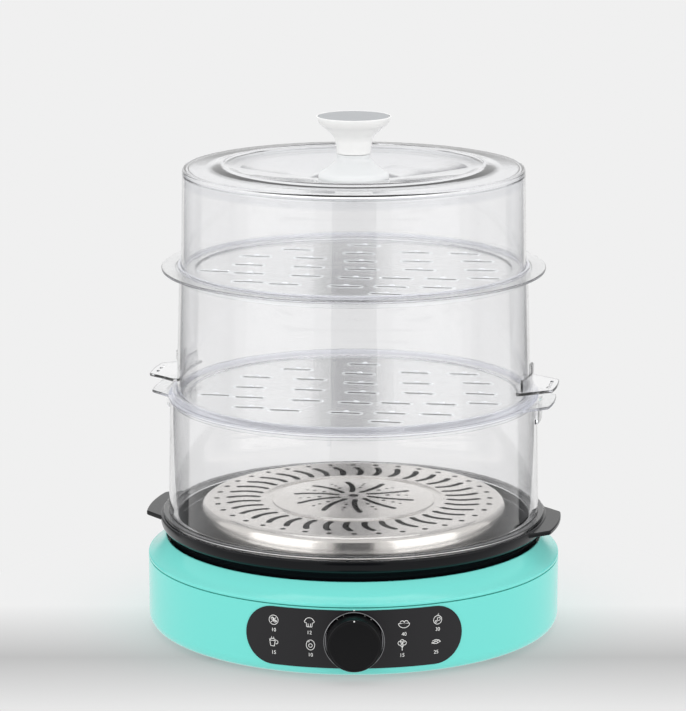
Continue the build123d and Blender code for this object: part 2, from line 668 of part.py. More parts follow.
def relay():
    top = FLOOR_TOP + POWER_LIFT + BOARD_T
    return Pos(TALL_X, -TALL_Y, top + RELAY_H / 2) * Box(RELAY_W, RELAY_L, RELAY_H)


def power_capacitor():
    top = FLOOR_TOP + POWER_LIFT + BOARD_T
    return Pos(TALL_X, TALL_Y, top + CAPACITOR_H / 2) * Box(CAPACITOR_W, CAPACITOR_L, CAPACITOR_H)


# ---- controls ------------------------------------------------------------------------------------
def control_board():
    height = BOARD_Z1 - BOARD_Z0
    board = Pos(0, -(BOARD_FRONT + BOARD_BACK) / 2, BOARD_Z0 + height / 2) * Box(2 * BOARD_HALF_W, BOARD_T, height)
    return board - bar_y(-BOARD_FRONT - 1, -BOARD_BACK + 1, SHAFT_R + 1)


def encoder_body():
    y = -(ENCODER_FRONT + BOARD_FRONT) / 2
    body = Pos(0, y, KNOB_Z) * Box(ENCODER_W, ENCODER_D, ENCODER_W)
    body -= bar_y(-ENCODER_FRONT + ENCODER_WALL, -BOARD_FRONT - ENCODER_WALL, ROTOR_R + RUN)
    return body - bar_y(-ENCODER_FRONT - 1, -BOARD_FRONT + 1, SHAFT_R + RUN)


def encoder_rotor():
    """Detent wheel that turns with the shaft while the shaft is pushed through it."""
    wall = ENCODER_WALL + RUN
    wheel = bar_y(-ENCODER_FRONT + wall, -BOARD_FRONT - wall, ROTOR_R)
    return wheel - bar_y(-ENCODER_FRONT, -BOARD_FRONT, SHAFT_R + RUN)


def encoder_shaft():
    return bar_y(-KNOB_BACK - SHAFT_BITE, -BOARD_BACK, SHAFT_R)


def control_knob():
    skirt = Cone(KNOB_R, KNOB_FACE_R + 0.6, KNOB_H - 0.9)
    knob = Pos(0, -KNOB_BACK - (KNOB_H - 0.9) / 2, KNOB_Z) * Rot(90, 0, 0) * skirt
    crown = Cone(KNOB_FACE_R + 0.6, KNOB_FACE_R, 0.9)
    knob += Pos(0, -KNOB_FRONT + 0.45, KNOB_Z) * Rot(90, 0, 0) * crown
    return knob - bar_y(-KNOB_BACK - SHAFT_BITE, -KNOB_BACK + 1, SHAFT_R)


# ---- grips ---------------------------------------------------------------------------------------
def grip(root_r, tip_r, root_half, tip_half, z0, thickness):
    """One flat grip pointing along +X: slanted sides and a round outer edge."""
    a, b = radians(root_half), radians(tip_half)
    root = (root_r * cos(a), root_r * sin(a))
    tip = (tip_r * cos(b), tip_r * sin(b))
    root_low, tip_low = (root[0], -root[1]), (tip[0], -tip[1])
    sides = Line(root_low, tip_low) + ThreePointArc(tip_low, (tip_r, 0), tip) + Line(tip, root)
    outline = sides + Line(root, root_low)
    return extrude(Pos(0, 0, z0) * make_face(outline), thickness)


def both_sides(piece):
    """The piece on the right and its twin half a turn round."""
    right = Rot(0, 0, TURN) * piece
    return [right, Rot(0, 0, 180) * right]


# ---- pan and steam plate -------------------------------------------------------------------------
def cooking_pan():
    low = PAN_RIM_Z - PAN_RIM_T
    mouth = PAN_MOUTH_R
    pan = lathe(
        (0, HEATER_Z), (PAN_FLOOR_R, HEATER_Z), (PAN_FLOOR_R + 6.5, HEATER_Z + 1.5),
        (PAN_R - 6.1, HEATER_Z + 5.2), (PAN_R - 3.4, HEATER_Z + 10), (PAN_R - 1.5, HEATER_Z + 18), (PAN_R, WELL_Z),
        (PAN_R + 0.9, low - 5), (PAN_RIM_R - 3.5, low - 2.5), (PAN_RIM_R - 0.8, low), (PAN_RIM_R, low + 4.2),
        (PAN_RIM_R, PAN_RIM_Z - 1), (PAN_RIM_R - 1, PAN_RIM_Z), (mouth + 0.5, PAN_RIM_Z), (mouth, WELL_Z),
        (mouth - 3.6, PAN_FLOOR_Z + 6.9), (PAN_FLOOR_R + 5.5, PAN_FLOOR_Z + 1.2), (PAN_FLOOR_R, PAN_FLOOR_Z),
        (0, PAN_FLOOR_Z),
    )
    ear_z = PAN_RIM_Z - PAN_EAR_DROP - PAN_EAR_T
    for ear in both_sides(grip(PAN_RIM_R, PAN_RIM_R + PAN_EAR_OUT, 17, 10.6, ear_z, PAN_EAR_T)):
        pan += ear
    return pan


def curved_slot(start, start_deg, end, end_deg, bow, width):
    """A slot between two places given by radius and direction, bowed clockwise."""
    middle = (start + end) / 2
    middle_deg = (start_deg + end_deg) / 2 - degrees(bow / middle)
    points = []
    for radius, angle in ((start, start_deg), (middle, middle_deg), (end, end_deg)):
        points.append((radius * cos(radians(angle)), radius * sin(radians(angle))))
    return SlotArc(ThreePointArc(*points), width)


def steam_plate():
    """Pressed plate on a flared skirt that stands on the pan's floor."""
    t, top, low = PLATE_T, PLATE_Z, PLATE_Z - GROOVE_D
    g1, g2 = GROOVE_IN, GROOVE_IN + GROOVE_W
    knee_r, knee_z = PLATE_FOOT_R - 0.5, PAN_FLOOR_Z + 0.45 * PLATE_H
    plate = lathe(
        (0, top - t + DOME_H), (0.5 * g1, top - t + 0.75 * DOME_H), (g1, top - t), (g1 + 0.8, low - t), (g2 - 0.8, low - t), (g2, top - t),
        (PLATE_R - 3.2, top - t), (PLATE_R - t - 0.4, top - 2.4), (PLATE_R - t, top - 3.8), (knee_r - t, knee_z),
        (PLATE_FOOT_R - t, PAN_FLOOR_Z), (PLATE_FOOT_R, PAN_FLOOR_Z), (knee_r, knee_z), (PLATE_R, top - 3.6),
        (PLATE_R - 0.6, top - 1.4), (PLATE_R - 3, top), (g2, top), (g2 - 0.8, low), (g1 + 0.8, low), (g1, top),
        (0.5 * g1, top + 0.75 * DOME_H), (0, top + DOME_H),
    )
    cuts = [Circle(CENTRE_HOLE_R)]
    pitch = 360 / HOLE_COUNT
    for index in range(HOLE_COUNT):
        hole_deg = -90 + index * pitch
        cuts.append(polar(HOLE_RING_R, hole_deg) * Circle(HOLE_R))
        half = RAY_W / 2
        start, end = g2 + RAY_START + half, HOLE_RING_R - RAY_INSET - half
        cuts.append(curved_slot(start, hole_deg - RAY_LAG_DEG, end, hole_deg - 1.5, RAY_BOW, RAY_W))
    star_pitch = 360 / STAR_COUNT
    for index in range(STAR_COUNT):
        star_deg = STAR_TURN + index * star_pitch
        cuts.append(curved_slot(STAR_IN + 2, star_deg, STAR_OUT - 2, star_deg, STAR_BOW, STAR_W))
        for radius, hole_r in ((25, 1.75), (33, 1.5), (39, 1.25)):
            cuts.append(polar(radius, star_deg + star_pitch / 2) * Circle(hole_r))
    return plate - [extrude(Pos(0, 0, low - 3) * cut, DOME_H + 8) for cut in cuts]


# ---- clear stack ---------------------------------------------------------------------------------
def lower_tier():
    z0, z1 = PAN_RIM_Z, TRAY1_Z
    flange = z0 + TIER1_FLANGE_T
    return lathe(
        (SPIGOT_R - SPIGOT_T, z0 - SPIGOT_H), (SPIGOT_R, z0 - SPIGOT_H), (SPIGOT_R, z0), (TIER1_FLANGE_R, z0),
        (TIER1_FLANGE_R, flange - 0.8), (TIER1_FLANGE_R - 0.8, flange), (TIER1_R, flange), (TIER1_TOP_R, z1),
        (TIER1_TOP_R - CLEAR_T, z1), (TIER1_R - CLEAR_T, flange), (SPIGOT_R - SPIGOT_T, flange),
    )


def cut_slots(tray, floor_r, z0, z1):
    """Straight steam slots, kept inside the tray's flat floor."""
    turn = radians(SLOT_TURN)
    along = Vector(cos(turn), sin(turn)) * (SLOT_L / 2)
    tools = []
    for laid_x, laid_y in SLOT_CENTRES:
        x, y = laid_x * SLOT_SCALE, laid_y * SLOT_SCALE
        reach = max((Vector(x, y) + along).length, (Vector(x, y) - along).length)
        if reach < floor_r - SLOT_EDGE:
            slot = Pos(x, y, z0) * Rot(0, 0, SLOT_TURN) * SlotOverall(SLOT_L, SLOT_W)
            tools.append(extrude(slot, z1 - z0))
    return tray - tools


def middle_tray():
    """Drip tray that closes the lower tier and carries the upper one inside its rim."""
    z0, seat = TRAY1_Z, TIER2_Z
    floor = seat + FLOOR_UP
    rim_top = seat + TRAY1_RIM_H
    rim_in = TRAY1_RIM_R - TRAY1_RIM_T
    skirt = TIER1_TOP_R - CLEAR_T - 0.5
    skirt_in = skirt - TRAY1_SKIRT_T
    wall_in = TIER2_R - CLEAR_T
    tray = lathe(
        (0, floor - TRAY_T), (skirt_in, floor - TRAY_T), (skirt_in, z0 - TRAY1_SKIRT_H), (skirt, z0 - TRAY1_SKIRT_H),
        (skirt, z0), (TRAY1_R, z0), (TRAY1_R, seat), (TRAY1_RIM_R, seat), (TRAY1_RIM_R, rim_top - 0.6),
        (TRAY1_RIM_R - 0.6, rim_top), (rim_in + 0.6, rim_top), (rim_in, rim_top - 0.6), (rim_in, seat),
        (wall_in - 1, seat), (wall_in - 1.8, floor), (BEAD_R + BEAD_W, floor), (BEAD_R + BEAD_W - 1, floor + BEAD_H),
        (BEAD_R + 1, floor + BEAD_H), (BEAD_R, floor), (0, floor),
    )
    tab_r = TIER1_TOP_R + TAB1_GAP
    tab = sector(tab_r + TAB1_T, tab_r, z0 - TAB1_H, z0 + TRAY_T, -TAB_HALF_DEG, TAB_HALF_DEG)
    tab -= polar(tab_r, TAB_HALF_DEG, z0 - TAB1_H) * Rot(45, 0, 0) * Box(20, TAB1_SLANT, TAB1_SLANT)
    ear = grip(TRAY1_R, TIER1_TOP_R + TRAY1_EAR_OUT + 1.3, 15, 8, z0, TRAY_T) + tab
    for side in both_sides(ear):
        tray += side
    return cut_slots(tray, BEAD_R, z0 - TRAY_T, floor + 1)


def upper_tier():
    """Clear wall with a collar, two grips and an upright ribbed tab on each grip."""
    z0, z1 = TIER2_Z, TRAY2_Z
    collar = z0 + COLLAR_UP
    collar_top = collar + COLLAR_T
    low_r = TIER2_R - TIER2_TAPER * COLLAR_UP / TIER2_H
    top_r = TIER2_R - TIER2_TAPER * (COLLAR_UP + COLLAR_T) / TIER2_H
    wall = lathe(
        (TIER2_R - CLEAR_T, z0), (TIER2_R, z0), (low_r, collar), (TIER2_R + COLLAR_OUT, collar),
        (TIER2_R + COLLAR_OUT, collar_top), (top_r, collar_top), (TIER2_TOP_R, z1), (TIER2_TOP_R - CLEAR_T, z1),
    )
    ear = grip(TIER2_R + COLLAR_OUT - 0.2, TIER2_R + TIER2_EAR_OUT, 15, 7, collar, COLLAR_T)
    for angle in (-4, 0, 4):
        ear -= polar(TIER2_R + TIER2_EAR_OUT - 5, angle, collar) * Box(2.4, 5, 3 * COLLAR_T)
    tab_r = low_r + 1
    tab_top = collar_top + TAB2_H
    start, end = -TAB2_LAG_DEG - TAB2_HALF_DEG, -TAB2_LAG_DEG + TAB2_HALF_DEG
    shoulder_z = tab_top - RIB_COUNT * RIB_PITCH
    ear += sector(tab_r + TAB2_T, tab_r, collar, shoulder_z, start, end)
    ear += sector(tab_r + TAB2_T, tab_r, shoulder_z - 1, tab_top, end - TAB2_POST_DEG, end)
    for index in range(RIB_COUNT):
        z = tab_top - (index + 1) * RIB_PITCH
        ear += sector(tab_r + TAB2_T + 0.7, tab_r + 0.5, z, z + RIB_H, end - TAB2_POST_DEG, end)
    for side in both_sides(ear):
        wall += side
    return wall


def upper_tray():
    """Wide-rimmed drip tray over the upper tier, with a skirt round the tier and a fence round the hood."""
    z0, z1 = TRAY2_Z, LID_Z
    spigot = TIER2_TOP_R - CLEAR_T - TRAY2_SPIGOT_GAP
    skirt_in = TIER2_TOP_R + TRAY2_SKIRT_GAP
    skirt = skirt_in + TRAY2_SKIRT_T
    floor = z1 - TRAY2_DEPTH
    floor_r = TRAY2_FLOOR_R
    fence = LID_R + REST
    tray = lathe(
        (0, floor - TRAY_T), (spigot - 0.5, floor - TRAY_T), (spigot, floor - TRAY_T + 0.5), (spigot, z0),
        (skirt_in, z0), (skirt_in, z0 - TRAY2_SKIRT_H), (skirt, z0 - TRAY2_SKIRT_H), (skirt, z0), (TRAY2_R - 0.5, z0),
        (TRAY2_R, z0 + 0.5), (TRAY2_R, z1 - 0.5), (TRAY2_R - 0.5, z1), (fence + FENCE_T + 0.4, z1),
        (fence + FENCE_T, z1 + FENCE_H), (fence + 0.3, z1 + FENCE_H), (fence, z1 + FENCE_H - 0.3), (fence, z1),
        (floor_r + TRAY2_STEP_W, z1), (floor_r + TRAY2_STEP_W - 0.6, z1 - 1), (floor_r + 0.6, z1 - 1), (floor_r, floor),
        (0, floor),
    )
    return cut_slots(tray, floor_r, floor - TRAY_T - 1, floor + 1)


# ---- lid -----------------------------------------------------------------------------------------
def lid_hood():
    """Clear hood with a rounded top edge, a raised ring and a dished middle that carries the knob."""
    z0, z1, t = LID_Z, LID_TOP_Z, CLEAR_T
    ridge = GROOVE_R - RIDGE_IN
    hole = KNOB_SCREW_R + 0.3
    inner = LID_TOP_R - t
    hood = lathe(
        (LID_R - t, z0), (LID_R, z0), (LID_TOP_R, z1 - 2.6), (LID_TOP_R - 0.3, z1 - 1.3), (LID_TOP_R - 1.2, z1 - 0.5),
        (LID_TOP_R - 3, z1 - 0.2), (GROOVE_R + 0.8, z1), (GROOVE_R, z1 - 0.8), (GROOVE_R - 0.8, z1),
        (ridge + 2, z1 + RIDGE_H - 0.3), (ridge, z1 + RIDGE_H), (ridge - 2.4, z1 + RIDGE_H - 0.5),
        (ridge - 10, z1 - 0.9), (60, z1 - 4.9), (DISH_R, DISH_Z), (hole, DISH_Z), (hole, DISH_Z - t),
        (DISH_R + 0.4, DISH_Z - t), (60, z1 - 4.9 - t), (ridge - 9.5, z1 - 0.9 - t), (ridge - 1.5, z1 + RIDGE_H - 0.6 - t),
        (ridge + 1.2, z1 + RIDGE_H - 0.3 - t), (GROOVE_R - 1, z1 - t), (inner - 1.5, z1 - t - 0.3), (inner, z1 - t - 2.6),
    )
    return hood - sector(GROOVE_R + VENT_OUT, GROOVE_R + 0.4, z1 - 6, z1 + 6, VENT_START, VENT_START + VENT_SPAN)


def lid_knob_base():
    neck, flare = KNOB_NECK_R, KNOB_BASE_R
    swell = flare - neck
    return lathe(
        (KNOB_SCREW_R + 0.2, DISH_Z), (flare - 0.5, DISH_Z), (flare, DISH_Z + 1.7), (neck + 0.91 * swell, DISH_Z + 4.6),
        (neck + 0.59 * swell, DISH_Z + 6.8), (neck + 0.32 * swell, DISH_Z + 9.7), (neck + 0.1 * swell, DISH_Z + 12.6),
        (neck, DISH_Z + 14.8), (neck, KNOB_SEAM), (KNOB_SCREW_R + 0.2, KNOB_SEAM),
    )


def lid_knob_grip():
    neck, top = KNOB_NECK_R, KNOB_TOP
    swell = KNOB_TOP_R - neck
    pocket = KNOB_TOP_R - CAP_INSET
    grip_body = lathe(
        (0, KNOB_SEAM), (neck, KNOB_SEAM), (neck, top - 24.7), (neck + 0.05 * swell, top - 21.1),
        (neck + 0.1 * swell, top - 17.1), (neck + 0.19 * swell, top - 14.6), (neck + 0.34 * swell, top - 12.4),
        (neck + 0.58 * swell, top - 8.5), (neck + 0.83 * swell, top - 5.9), (neck + 0.93 * swell, top - 3),
        (KNOB_TOP_R, top - 0.4), (KNOB_TOP_R - 0.4, top), (pocket, top), (pocket, top - CAP_T), (0, top - CAP_T),
    )
    return grip_body - ring(KNOB_SCREW_R, 0, KNOB_SEAM - 1, KNOB_SEAM + KNOB_SCREW_BITE)


def lid_knob_cap():
    return ring(KNOB_TOP_R - CAP_INSET - FIT, 0, KNOB_TOP - CAP_T, KNOB_TOP - 0.2)


def lid_knob_screw():
    under = DISH_Z - CLEAR_T - WASHER_T
    head = ring(4.5, 0, under - 2.6, under)
    return head + ring(KNOB_SCREW_R, 0, under, KNOB_SEAM + KNOB_SCREW_BITE - 1)


def lid_washer():
    return ring(WASHER_R, KNOB_SCREW_R + 0.2, DISH_Z - CLEAR_T - WASHER_T, DISH_Z - CLEAR_T)


# ---- pieces --------------------------------------------------------------------------------------
PIECES = [
    base_housing, floor_plate, base_top_cover, control_panel, knob_bezel, rubber_feet, housing_screws, heat_shield,
    well_liner, heating_plate, heating_element, heater_screws, sensor_holder, sensor_plunger, sensor_spring,
    thermal_fuse, heater_leads, terminal_block, cord_gland, cord_clamp, power_board, relay, power_capacitor,
    control_board, encoder_body, encoder_rotor, encoder_shaft, control_knob, cooking_pan, steam_plate,
    lower_tier, middle_tray, upper_tier, upper_tray, lid_hood, lid_knob_base, lid_knob_grip, lid_knob_cap,
    lid_knob_screw, lid_washer,
]

os.makedirs("parts", exist_ok=True)
for make in PIECES:
    export_step(make(), f"parts/{make.__name__}.step")
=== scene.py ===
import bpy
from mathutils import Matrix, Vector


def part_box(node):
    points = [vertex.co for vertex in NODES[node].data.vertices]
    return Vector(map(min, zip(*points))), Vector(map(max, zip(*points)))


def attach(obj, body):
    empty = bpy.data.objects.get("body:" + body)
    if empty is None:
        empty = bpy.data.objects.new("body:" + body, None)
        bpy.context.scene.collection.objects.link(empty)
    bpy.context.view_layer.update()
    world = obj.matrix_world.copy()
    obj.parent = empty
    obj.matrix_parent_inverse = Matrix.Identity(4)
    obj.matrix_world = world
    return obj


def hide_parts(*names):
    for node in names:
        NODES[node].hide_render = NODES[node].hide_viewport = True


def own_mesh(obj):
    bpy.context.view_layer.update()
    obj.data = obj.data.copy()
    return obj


bl_info = {
    "name": "Food Steamer",
    "version": (1, 0, 0),
    "blender": (4, 5, 0),
    "location": "3D View > Sidebar > Steamer",
    "description": "Dresses a three-level electric food steamer, piece by piece",
    "category": "Object",
}

from math import atan2, cos, degrees, hypot, pi, radians, sin

import bpy
from mathutils import Matrix, Vector

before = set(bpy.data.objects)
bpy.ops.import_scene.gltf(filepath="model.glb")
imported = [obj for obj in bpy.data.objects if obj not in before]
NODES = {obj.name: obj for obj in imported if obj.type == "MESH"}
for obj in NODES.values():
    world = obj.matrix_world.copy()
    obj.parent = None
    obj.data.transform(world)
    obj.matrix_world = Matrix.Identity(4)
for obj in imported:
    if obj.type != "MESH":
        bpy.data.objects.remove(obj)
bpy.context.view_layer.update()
MM = 0.001
TURN = radians(-11.0)      # the grips' direction on the right, from +X

# Sizes in millimetres, as the solids have them
BASE_R = 150.0
PANEL_FACE = 150.5
KNOB_Z = 28.55
DIAL_BORE_R = 21.0
DIAL_BORE_DEPTH = 20.0
DIAL_BORE_REACH = 149.0    # the drill's middle, out from the axis
SPRING_WIRE_R = 0.6
SLOT_TURN = radians(-10.0)
SLOT_LENGTH = 20.7
SLOT_WIDTH = 2.8
RIM_LENGTH = 25.0          # the raised rim round a slot
RIM_WIDTH = 6.6
RIM_TUBE_R = 0.24
BUMP_BACK = 4.2            # the low bump behind a slot
BUMP_HALVES = (2.4, 1.1, 0.9)
WORLD_SEEN = 0.96          # what is seen, mirrored or looked through
WORLD_LIGHT = 0.80         # what lights the piece
SPRING_TURNS = 5
SLOT_CENTRES = [
    (-100, -13), (-75, -21), (-74, -53), (-49, -62), (-34, -31), (-33, 3.5), (-32, 38.5), (5, 25), (6, -6),
    (1, -39), (-6, -70), (30, -40), (26, -71.5), (22, -98), (47, -8), (46, 25), (46, 61), (62, -43),
    (58, -75), (91.5, -10), (90.5, 25), (92.5, -41), (-76, 12), (-72, 46), (-42, 73), (4, 57), (8, 90),
    (82, 56),
]


# ---- colours and nodes ----------------------------------------------------------------------------
def linear(hex_colour):
    """sRGB hex, such as 7de6da, to linear red, green and blue."""
    parts = [int(hex_colour[i : i + 2], 16) / 255 for i in (0, 2, 4)]
    return tuple(c / 12.92 if c <= 0.04045 else ((c + 0.055) / 1.055) ** 2.4 for c in parts)


def add_node(tree, kind, values=None, links=None, **settings):
    """Adds one node with its settings, socket values and incoming links."""
    node = tree.nodes.new(kind)
    for name, value in settings.items():
        setattr(node, name, value)
    for socket, value in (values or {}).items():
        node.inputs[socket].default_value = value
    for socket, source in (links or {}).items():
        tree.links.new(source, node.inputs[socket])
    return node


def object_axes(tree):
    """The object's own coordinates as X, Y and Z outputs."""
    place = add_node(tree, "ShaderNodeTexCoord")
    return add_node(tree, "ShaderNodeSeparateXYZ", links={"Vector": place.outputs["Object"]}).outputs


def ramp(tree, source, low, high, first=0.0, last=1.0, kind="LINEAR"):
    """Runs from first to last while the source runs from low to high."""
    values = {"From Min": low, "From Max": high, "To Min": first, "To Max": last}
    node = add_node(tree, "ShaderNodeMapRange", values, {"Value": source}, interpolation_type=kind)
    return node.outputs["Result"]


def larger(tree, one, other):
    return add_node(tree, "ShaderNodeMath", links={0: one, 1: other}, operation="MAXIMUM").outputs["Value"]


def blend(tree, share, first, second):
    """Two shaders mixed by the share of the second."""
    return add_node(tree, "ShaderNodeMixShader", links={0: share, 1: first, 2: second}).outputs["Shader"]


def start_material(name):
    """An empty material and its tree, or the finished one when it is there already."""
    material = bpy.data.materials.get(name)
    if material:
        return material, None
    material = bpy.data.materials.new(name)
    material.use_nodes = True
    material.node_tree.nodes.clear()
    return material, material.node_tree


def skin(tree, grain_mm, height_mm, rough, spread, stretch=(1, 1, 1)):
    """Uneven roughness and a shallow relief of one grain size, both on object coordinates."""
    place = add_node(tree, "ShaderNodeTexCoord")
    mapping = add_node(tree, "ShaderNodeMapping", {"Scale": stretch}, {"Vector": place.outputs["Object"]})
    noise = add_node(
        tree, "ShaderNodeTexNoise", {"Scale": 1 / (grain_mm * MM), "Detail": 3.0},
        {"Vector": mapping.outputs["Vector"]},
    )
    bump = add_node(
        tree, "ShaderNodeBump", {"Strength": 1.0, "Distance": height_mm * MM},
        {"Height": noise.outputs["Fac"]},
    )
    roughness = ramp(tree, noise.outputs["Fac"], 0.0, 1.0, rough - spread, rough + spread)
    return {"Roughness": roughness, "Normal": bump.outputs["Normal"]}


def give_way(tree, share, colour, strength):
    """A flat glow that gives way to clear by a share of 0 to 1."""
    glow = add_node(tree, "ShaderNodeEmission", {"Color": (*colour, 1.0), "Strength": 1.0})
    if strength:
        tree.links.new(strength, glow.inputs["Strength"])
    clear = add_node(tree, "ShaderNodeBsdfTransparent")
    mix = blend(tree, share, glow.outputs["Emission"], clear.outputs["BSDF"])
    add_node(tree, "ShaderNodeOutputMaterial", links={"Surface": mix})


def solid_finish(name, colour, rough, spread, grain_mm, height_mm, stretch=(1, 1, 1), **values):
    """An opaque finish: one colour, uneven gloss and a shallow relief."""
    material, tree = start_material(name)
    if tree is None:
        return material
    sockets = {"Base Color": (*colour, 1.0)}
    sockets.update({key.replace("_", " "): value for key, value in values.items()})
    links = skin(tree, grain_mm, height_mm, rough, spread, stretch)
    shader = add_node(tree, "ShaderNodeBsdfPrincipled", sockets, links)
    add_node(tree, "ShaderNodeOutputMaterial", links={"Surface": shader.outputs["BSDF"]})
    return material


def clear_finish(name, colour, rough, ior, grain_mm, height_mm, shade=0.94):
    """A clear moulding: light for shadows passes straight through, all else is bent and mirrored."""
    material, tree = start_material(name)
    if tree is None:
        return material
    sockets = {"Base Color": (*colour, 1.0), "Transmission Weight": 1.0, "IOR": ior}
    links = skin(tree, grain_mm, height_mm, rough, rough * 0.4)
    shader = add_node(tree, "ShaderNodeBsdfPrincipled", sockets, links)
    through = add_node(tree, "ShaderNodeBsdfTransparent", {"Color": (shade, shade, shade, 1.0)})
    path = add_node(tree, "ShaderNodeLightPath")
    soft = larger(tree, path.outputs["Is Shadow Ray"], path.outputs["Is Diffuse Ray"])
    mix = blend(tree, soft, shader.outputs["BSDF"], through.outputs["BSDF"])
    add_node(tree, "ShaderNodeOutputMaterial", links={"Surface": mix})
    return material


# ---- finishes -------------------------------------------------------------------------------------
def mint_abs():
    # Glossy injection-moulded ABS: an even colour under a clear mirror with the faintest waviness
    shell = bpy.context.scene.steamer_colours.shell
    return solid_finish("gloss_abs", shell, 0.16, 0.03, 9.0, 0.012, IOR=1.54)


def printed_polycarbonate():
    # Back-printed polycarbonate film: deep warm black under a silky face
    return solid_finish(
        "printed_polycarbonate", bpy.context.scene.steamer_colours.panel, 0.34, 0.05, 0.6, 0.004, IOR=1.585,
        Specular_IOR_Level=0.25)


def chromed_abs():
    # Electroplated ABS coloured a darker grey than bright chrome, thin enough to read as a line of light
    return solid_finish("chromed_abs", linear("7e7e80"), 0.12, 0.03, 4.0, 0.004, Metallic=1.0)


def satin_black_abs():
    # Fine-textured black ABS: the spark-eroded mould leaves a soft grey sheen
    return solid_finish(
        "satin_black_abs", bpy.context.scene.steamer_colours.dial, 0.32, 0.05, 0.35, 0.005, IOR=1.54,
        Specular_IOR_Level=0.15)


def screen_ink():
    # White screen ink, flat and a little chalky
    return solid_finish("screen_ink", linear("f2f2f0"), 0.55, 0.06, 0.3, 0.004)


def non_stick_aluminium():
    # Cast aluminium sprayed black: a hard glossy coat with orange peel about 2 mm wide
    return solid_finish(
        "non_stick_aluminium", bpy.context.scene.steamer_colours.pan, 0.17, 0.05, 2.2, 0.012, IOR=1.5,
        Specular_IOR_Level=0.18)


def satin_stainless():
    # 430 stainless, brushed round and then pressed: broad soft reflections with fine streaks
    return solid_finish("satin_stainless", linear("d6d2cd"), 0.17, 0.04, 0.7, 0.004, (1, 1, 6), Metallic=1.0)


def clear_san():
    # Styrene-acrylonitrile walls: water clear, faintly grey through the depth of two skins
    return clear_finish("clear_san", bpy.context.scene.steamer_colours.clear, 0.03, 1.57, 14.0, 0.02)


def clear_san_hood():
    # The hood's top is tinted a shade greyer than its wall
    material = clear_finish("clear_san_hood", bpy.context.scene.steamer_colours.clear, 0.03, 1.57, 14.0, 0.02)
    tree = material.node_tree
    shader = next(node for node in tree.nodes if node.type == "BSDF_PRINCIPLED")
    top = ramp(tree, object_axes(tree)["Z"], 0.3250, 0.3275)
    tint = add_node(
        tree, "ShaderNodeMixRGB",
        {"Color1": (*bpy.context.scene.steamer_colours.clear, 1.0), "Color2": (0.90, 0.905, 0.92, 1.0)},
        {"Fac": top},
    )
    tree.links.new(tint.outputs["Color"], shader.inputs["Base Color"])
    return material


def clear_san_tray():
    # The trays' SAN is a little hazier from its etched mould
    return clear_finish("clear_san_tray", bpy.context.scene.steamer_colours.tray, 0.09, 1.57, 3.0, 0.02)


def etched_san_painted_glint():
    # The same SAN where the mould is etched: raised rims and bumps, with a faint glow that paints their
    # highlights white
    return solid_finish(
        "etched_san_painted_glint", linear("f7f9fb"), 0.22, 0.05, 0.6, 0.01, IOR=1.57, Transmission_Weight=0.5,
        Emission_Color=(0.96, 0.97, 1.0, 1.0), Emission_Strength=0.2)


def painted_band_san():
    # Tray rims: a pale lavender-grey band, with lowered clarity and a faint glow that paints light into it
    return solid_finish(
        "painted_band_san", linear("f3f4fa"), 0.12, 0.04, 1.0, 0.01, IOR=1.5, Transmission_Weight=0.8,
        Emission_Color=(0.95, 0.96, 1.0, 1.0), Emission_Strength=0.06)


def shaded_san():
    # The slots' own walls, which light seldom reaches, so that each slot reads as a dark line
    return solid_finish(
        "shaded_san", linear("8c8a88"), 0.3, 0.05, 1.0, 0.01, IOR=1.5, Transmission_Weight=0.3)


def white_abs():
    # Glossy white ABS grip
    return solid_finish("white_abs", linear("fcfcfb"), 0.2, 0.04, 5.0, 0.006, IOR=1.54)


def frosted_polypropylene():
    # Natural polypropylene: light enters and scatters, so shadows fill with pale grey
    return solid_finish(
        "frosted_polypropylene", linear("eef0f1"), 0.3, 0.05, 2.0, 0.01, IOR=1.49,
        Subsurface_Weight=0.35, Subsurface_Radius=(0.004, 0.004, 0.004), Subsurface_Scale=1.0,
    )


def grey_cap_abs():
    # Satin silver-grey ABS disc
    return solid_finish("grey_cap_abs", linear("a5a8ab"), 0.34, 0.05, 0.5, 0.004, IOR=1.54)


def black_rubber():
    # Moulded nitrile rubber, dull and faintly mottled
    return solid_finish("black_rubber", linear("1c1c1d"), 0.75, 0.08, 0.8, 0.02)


def zinc_steel():
    # Zinc-plated steel, greyish with a crystal mottle
    return solid_finish("zinc_steel", linear("b9bbbc"), 0.35, 0.1, 1.2, 0.004, Metallic=1.0)


def pressed_steel():
    # Cold-rolled sheet with drawing marks
    return solid_finish("pressed_steel", linear("b2b2b0"), 0.38, 0.1, 0.6, 0.006, (1, 1, 8), Metallic=1.0)


def cast_aluminium():
    # Die-cast aluminium, faced on top: pale, slightly granular
    return solid_finish("die_cast_aluminium", linear("b6b7b8"), 0.45, 0.1, 0.9, 0.02, Metallic=1.0)


def sheathed_steel():
    # Annealed sheath of a heating tube, straw to brown-grey
    return solid_finish("sheathed_steel", linear("6d655c"), 0.5, 0.1, 3.0, 0.01, Metallic=1.0)


def steatite():
    # Fired steatite ceramic, matt off-white
    return solid_finish("steatite", linear("e6e1d5"), 0.65, 0.06, 0.7, 0.01)


def silicone_sleeve():
    # Silicone-glass sleeving, off-white with a woven bump
    return solid_finish("silicone_sleeve", linear("d8d4c8"), 0.6, 0.06, 0.8, 0.03)


def nylon():
    # Natural polyamide, milky and slightly waxy
    return solid_finish("nylon", linear("e4e2da"), 0.42, 0.05, 1.5, 0.006)


def circuit_laminate():
    # Solder-masked glass-epoxy board
    return solid_finish("circuit_laminate", linear("1f5a37"), 0.35, 0.06, 0.5, 0.006)


def potted_epoxy():
    # Black epoxy of moulded components
    return solid_finish("potted_epoxy", linear("232325"), 0.5, 0.06, 0.6, 0.01)


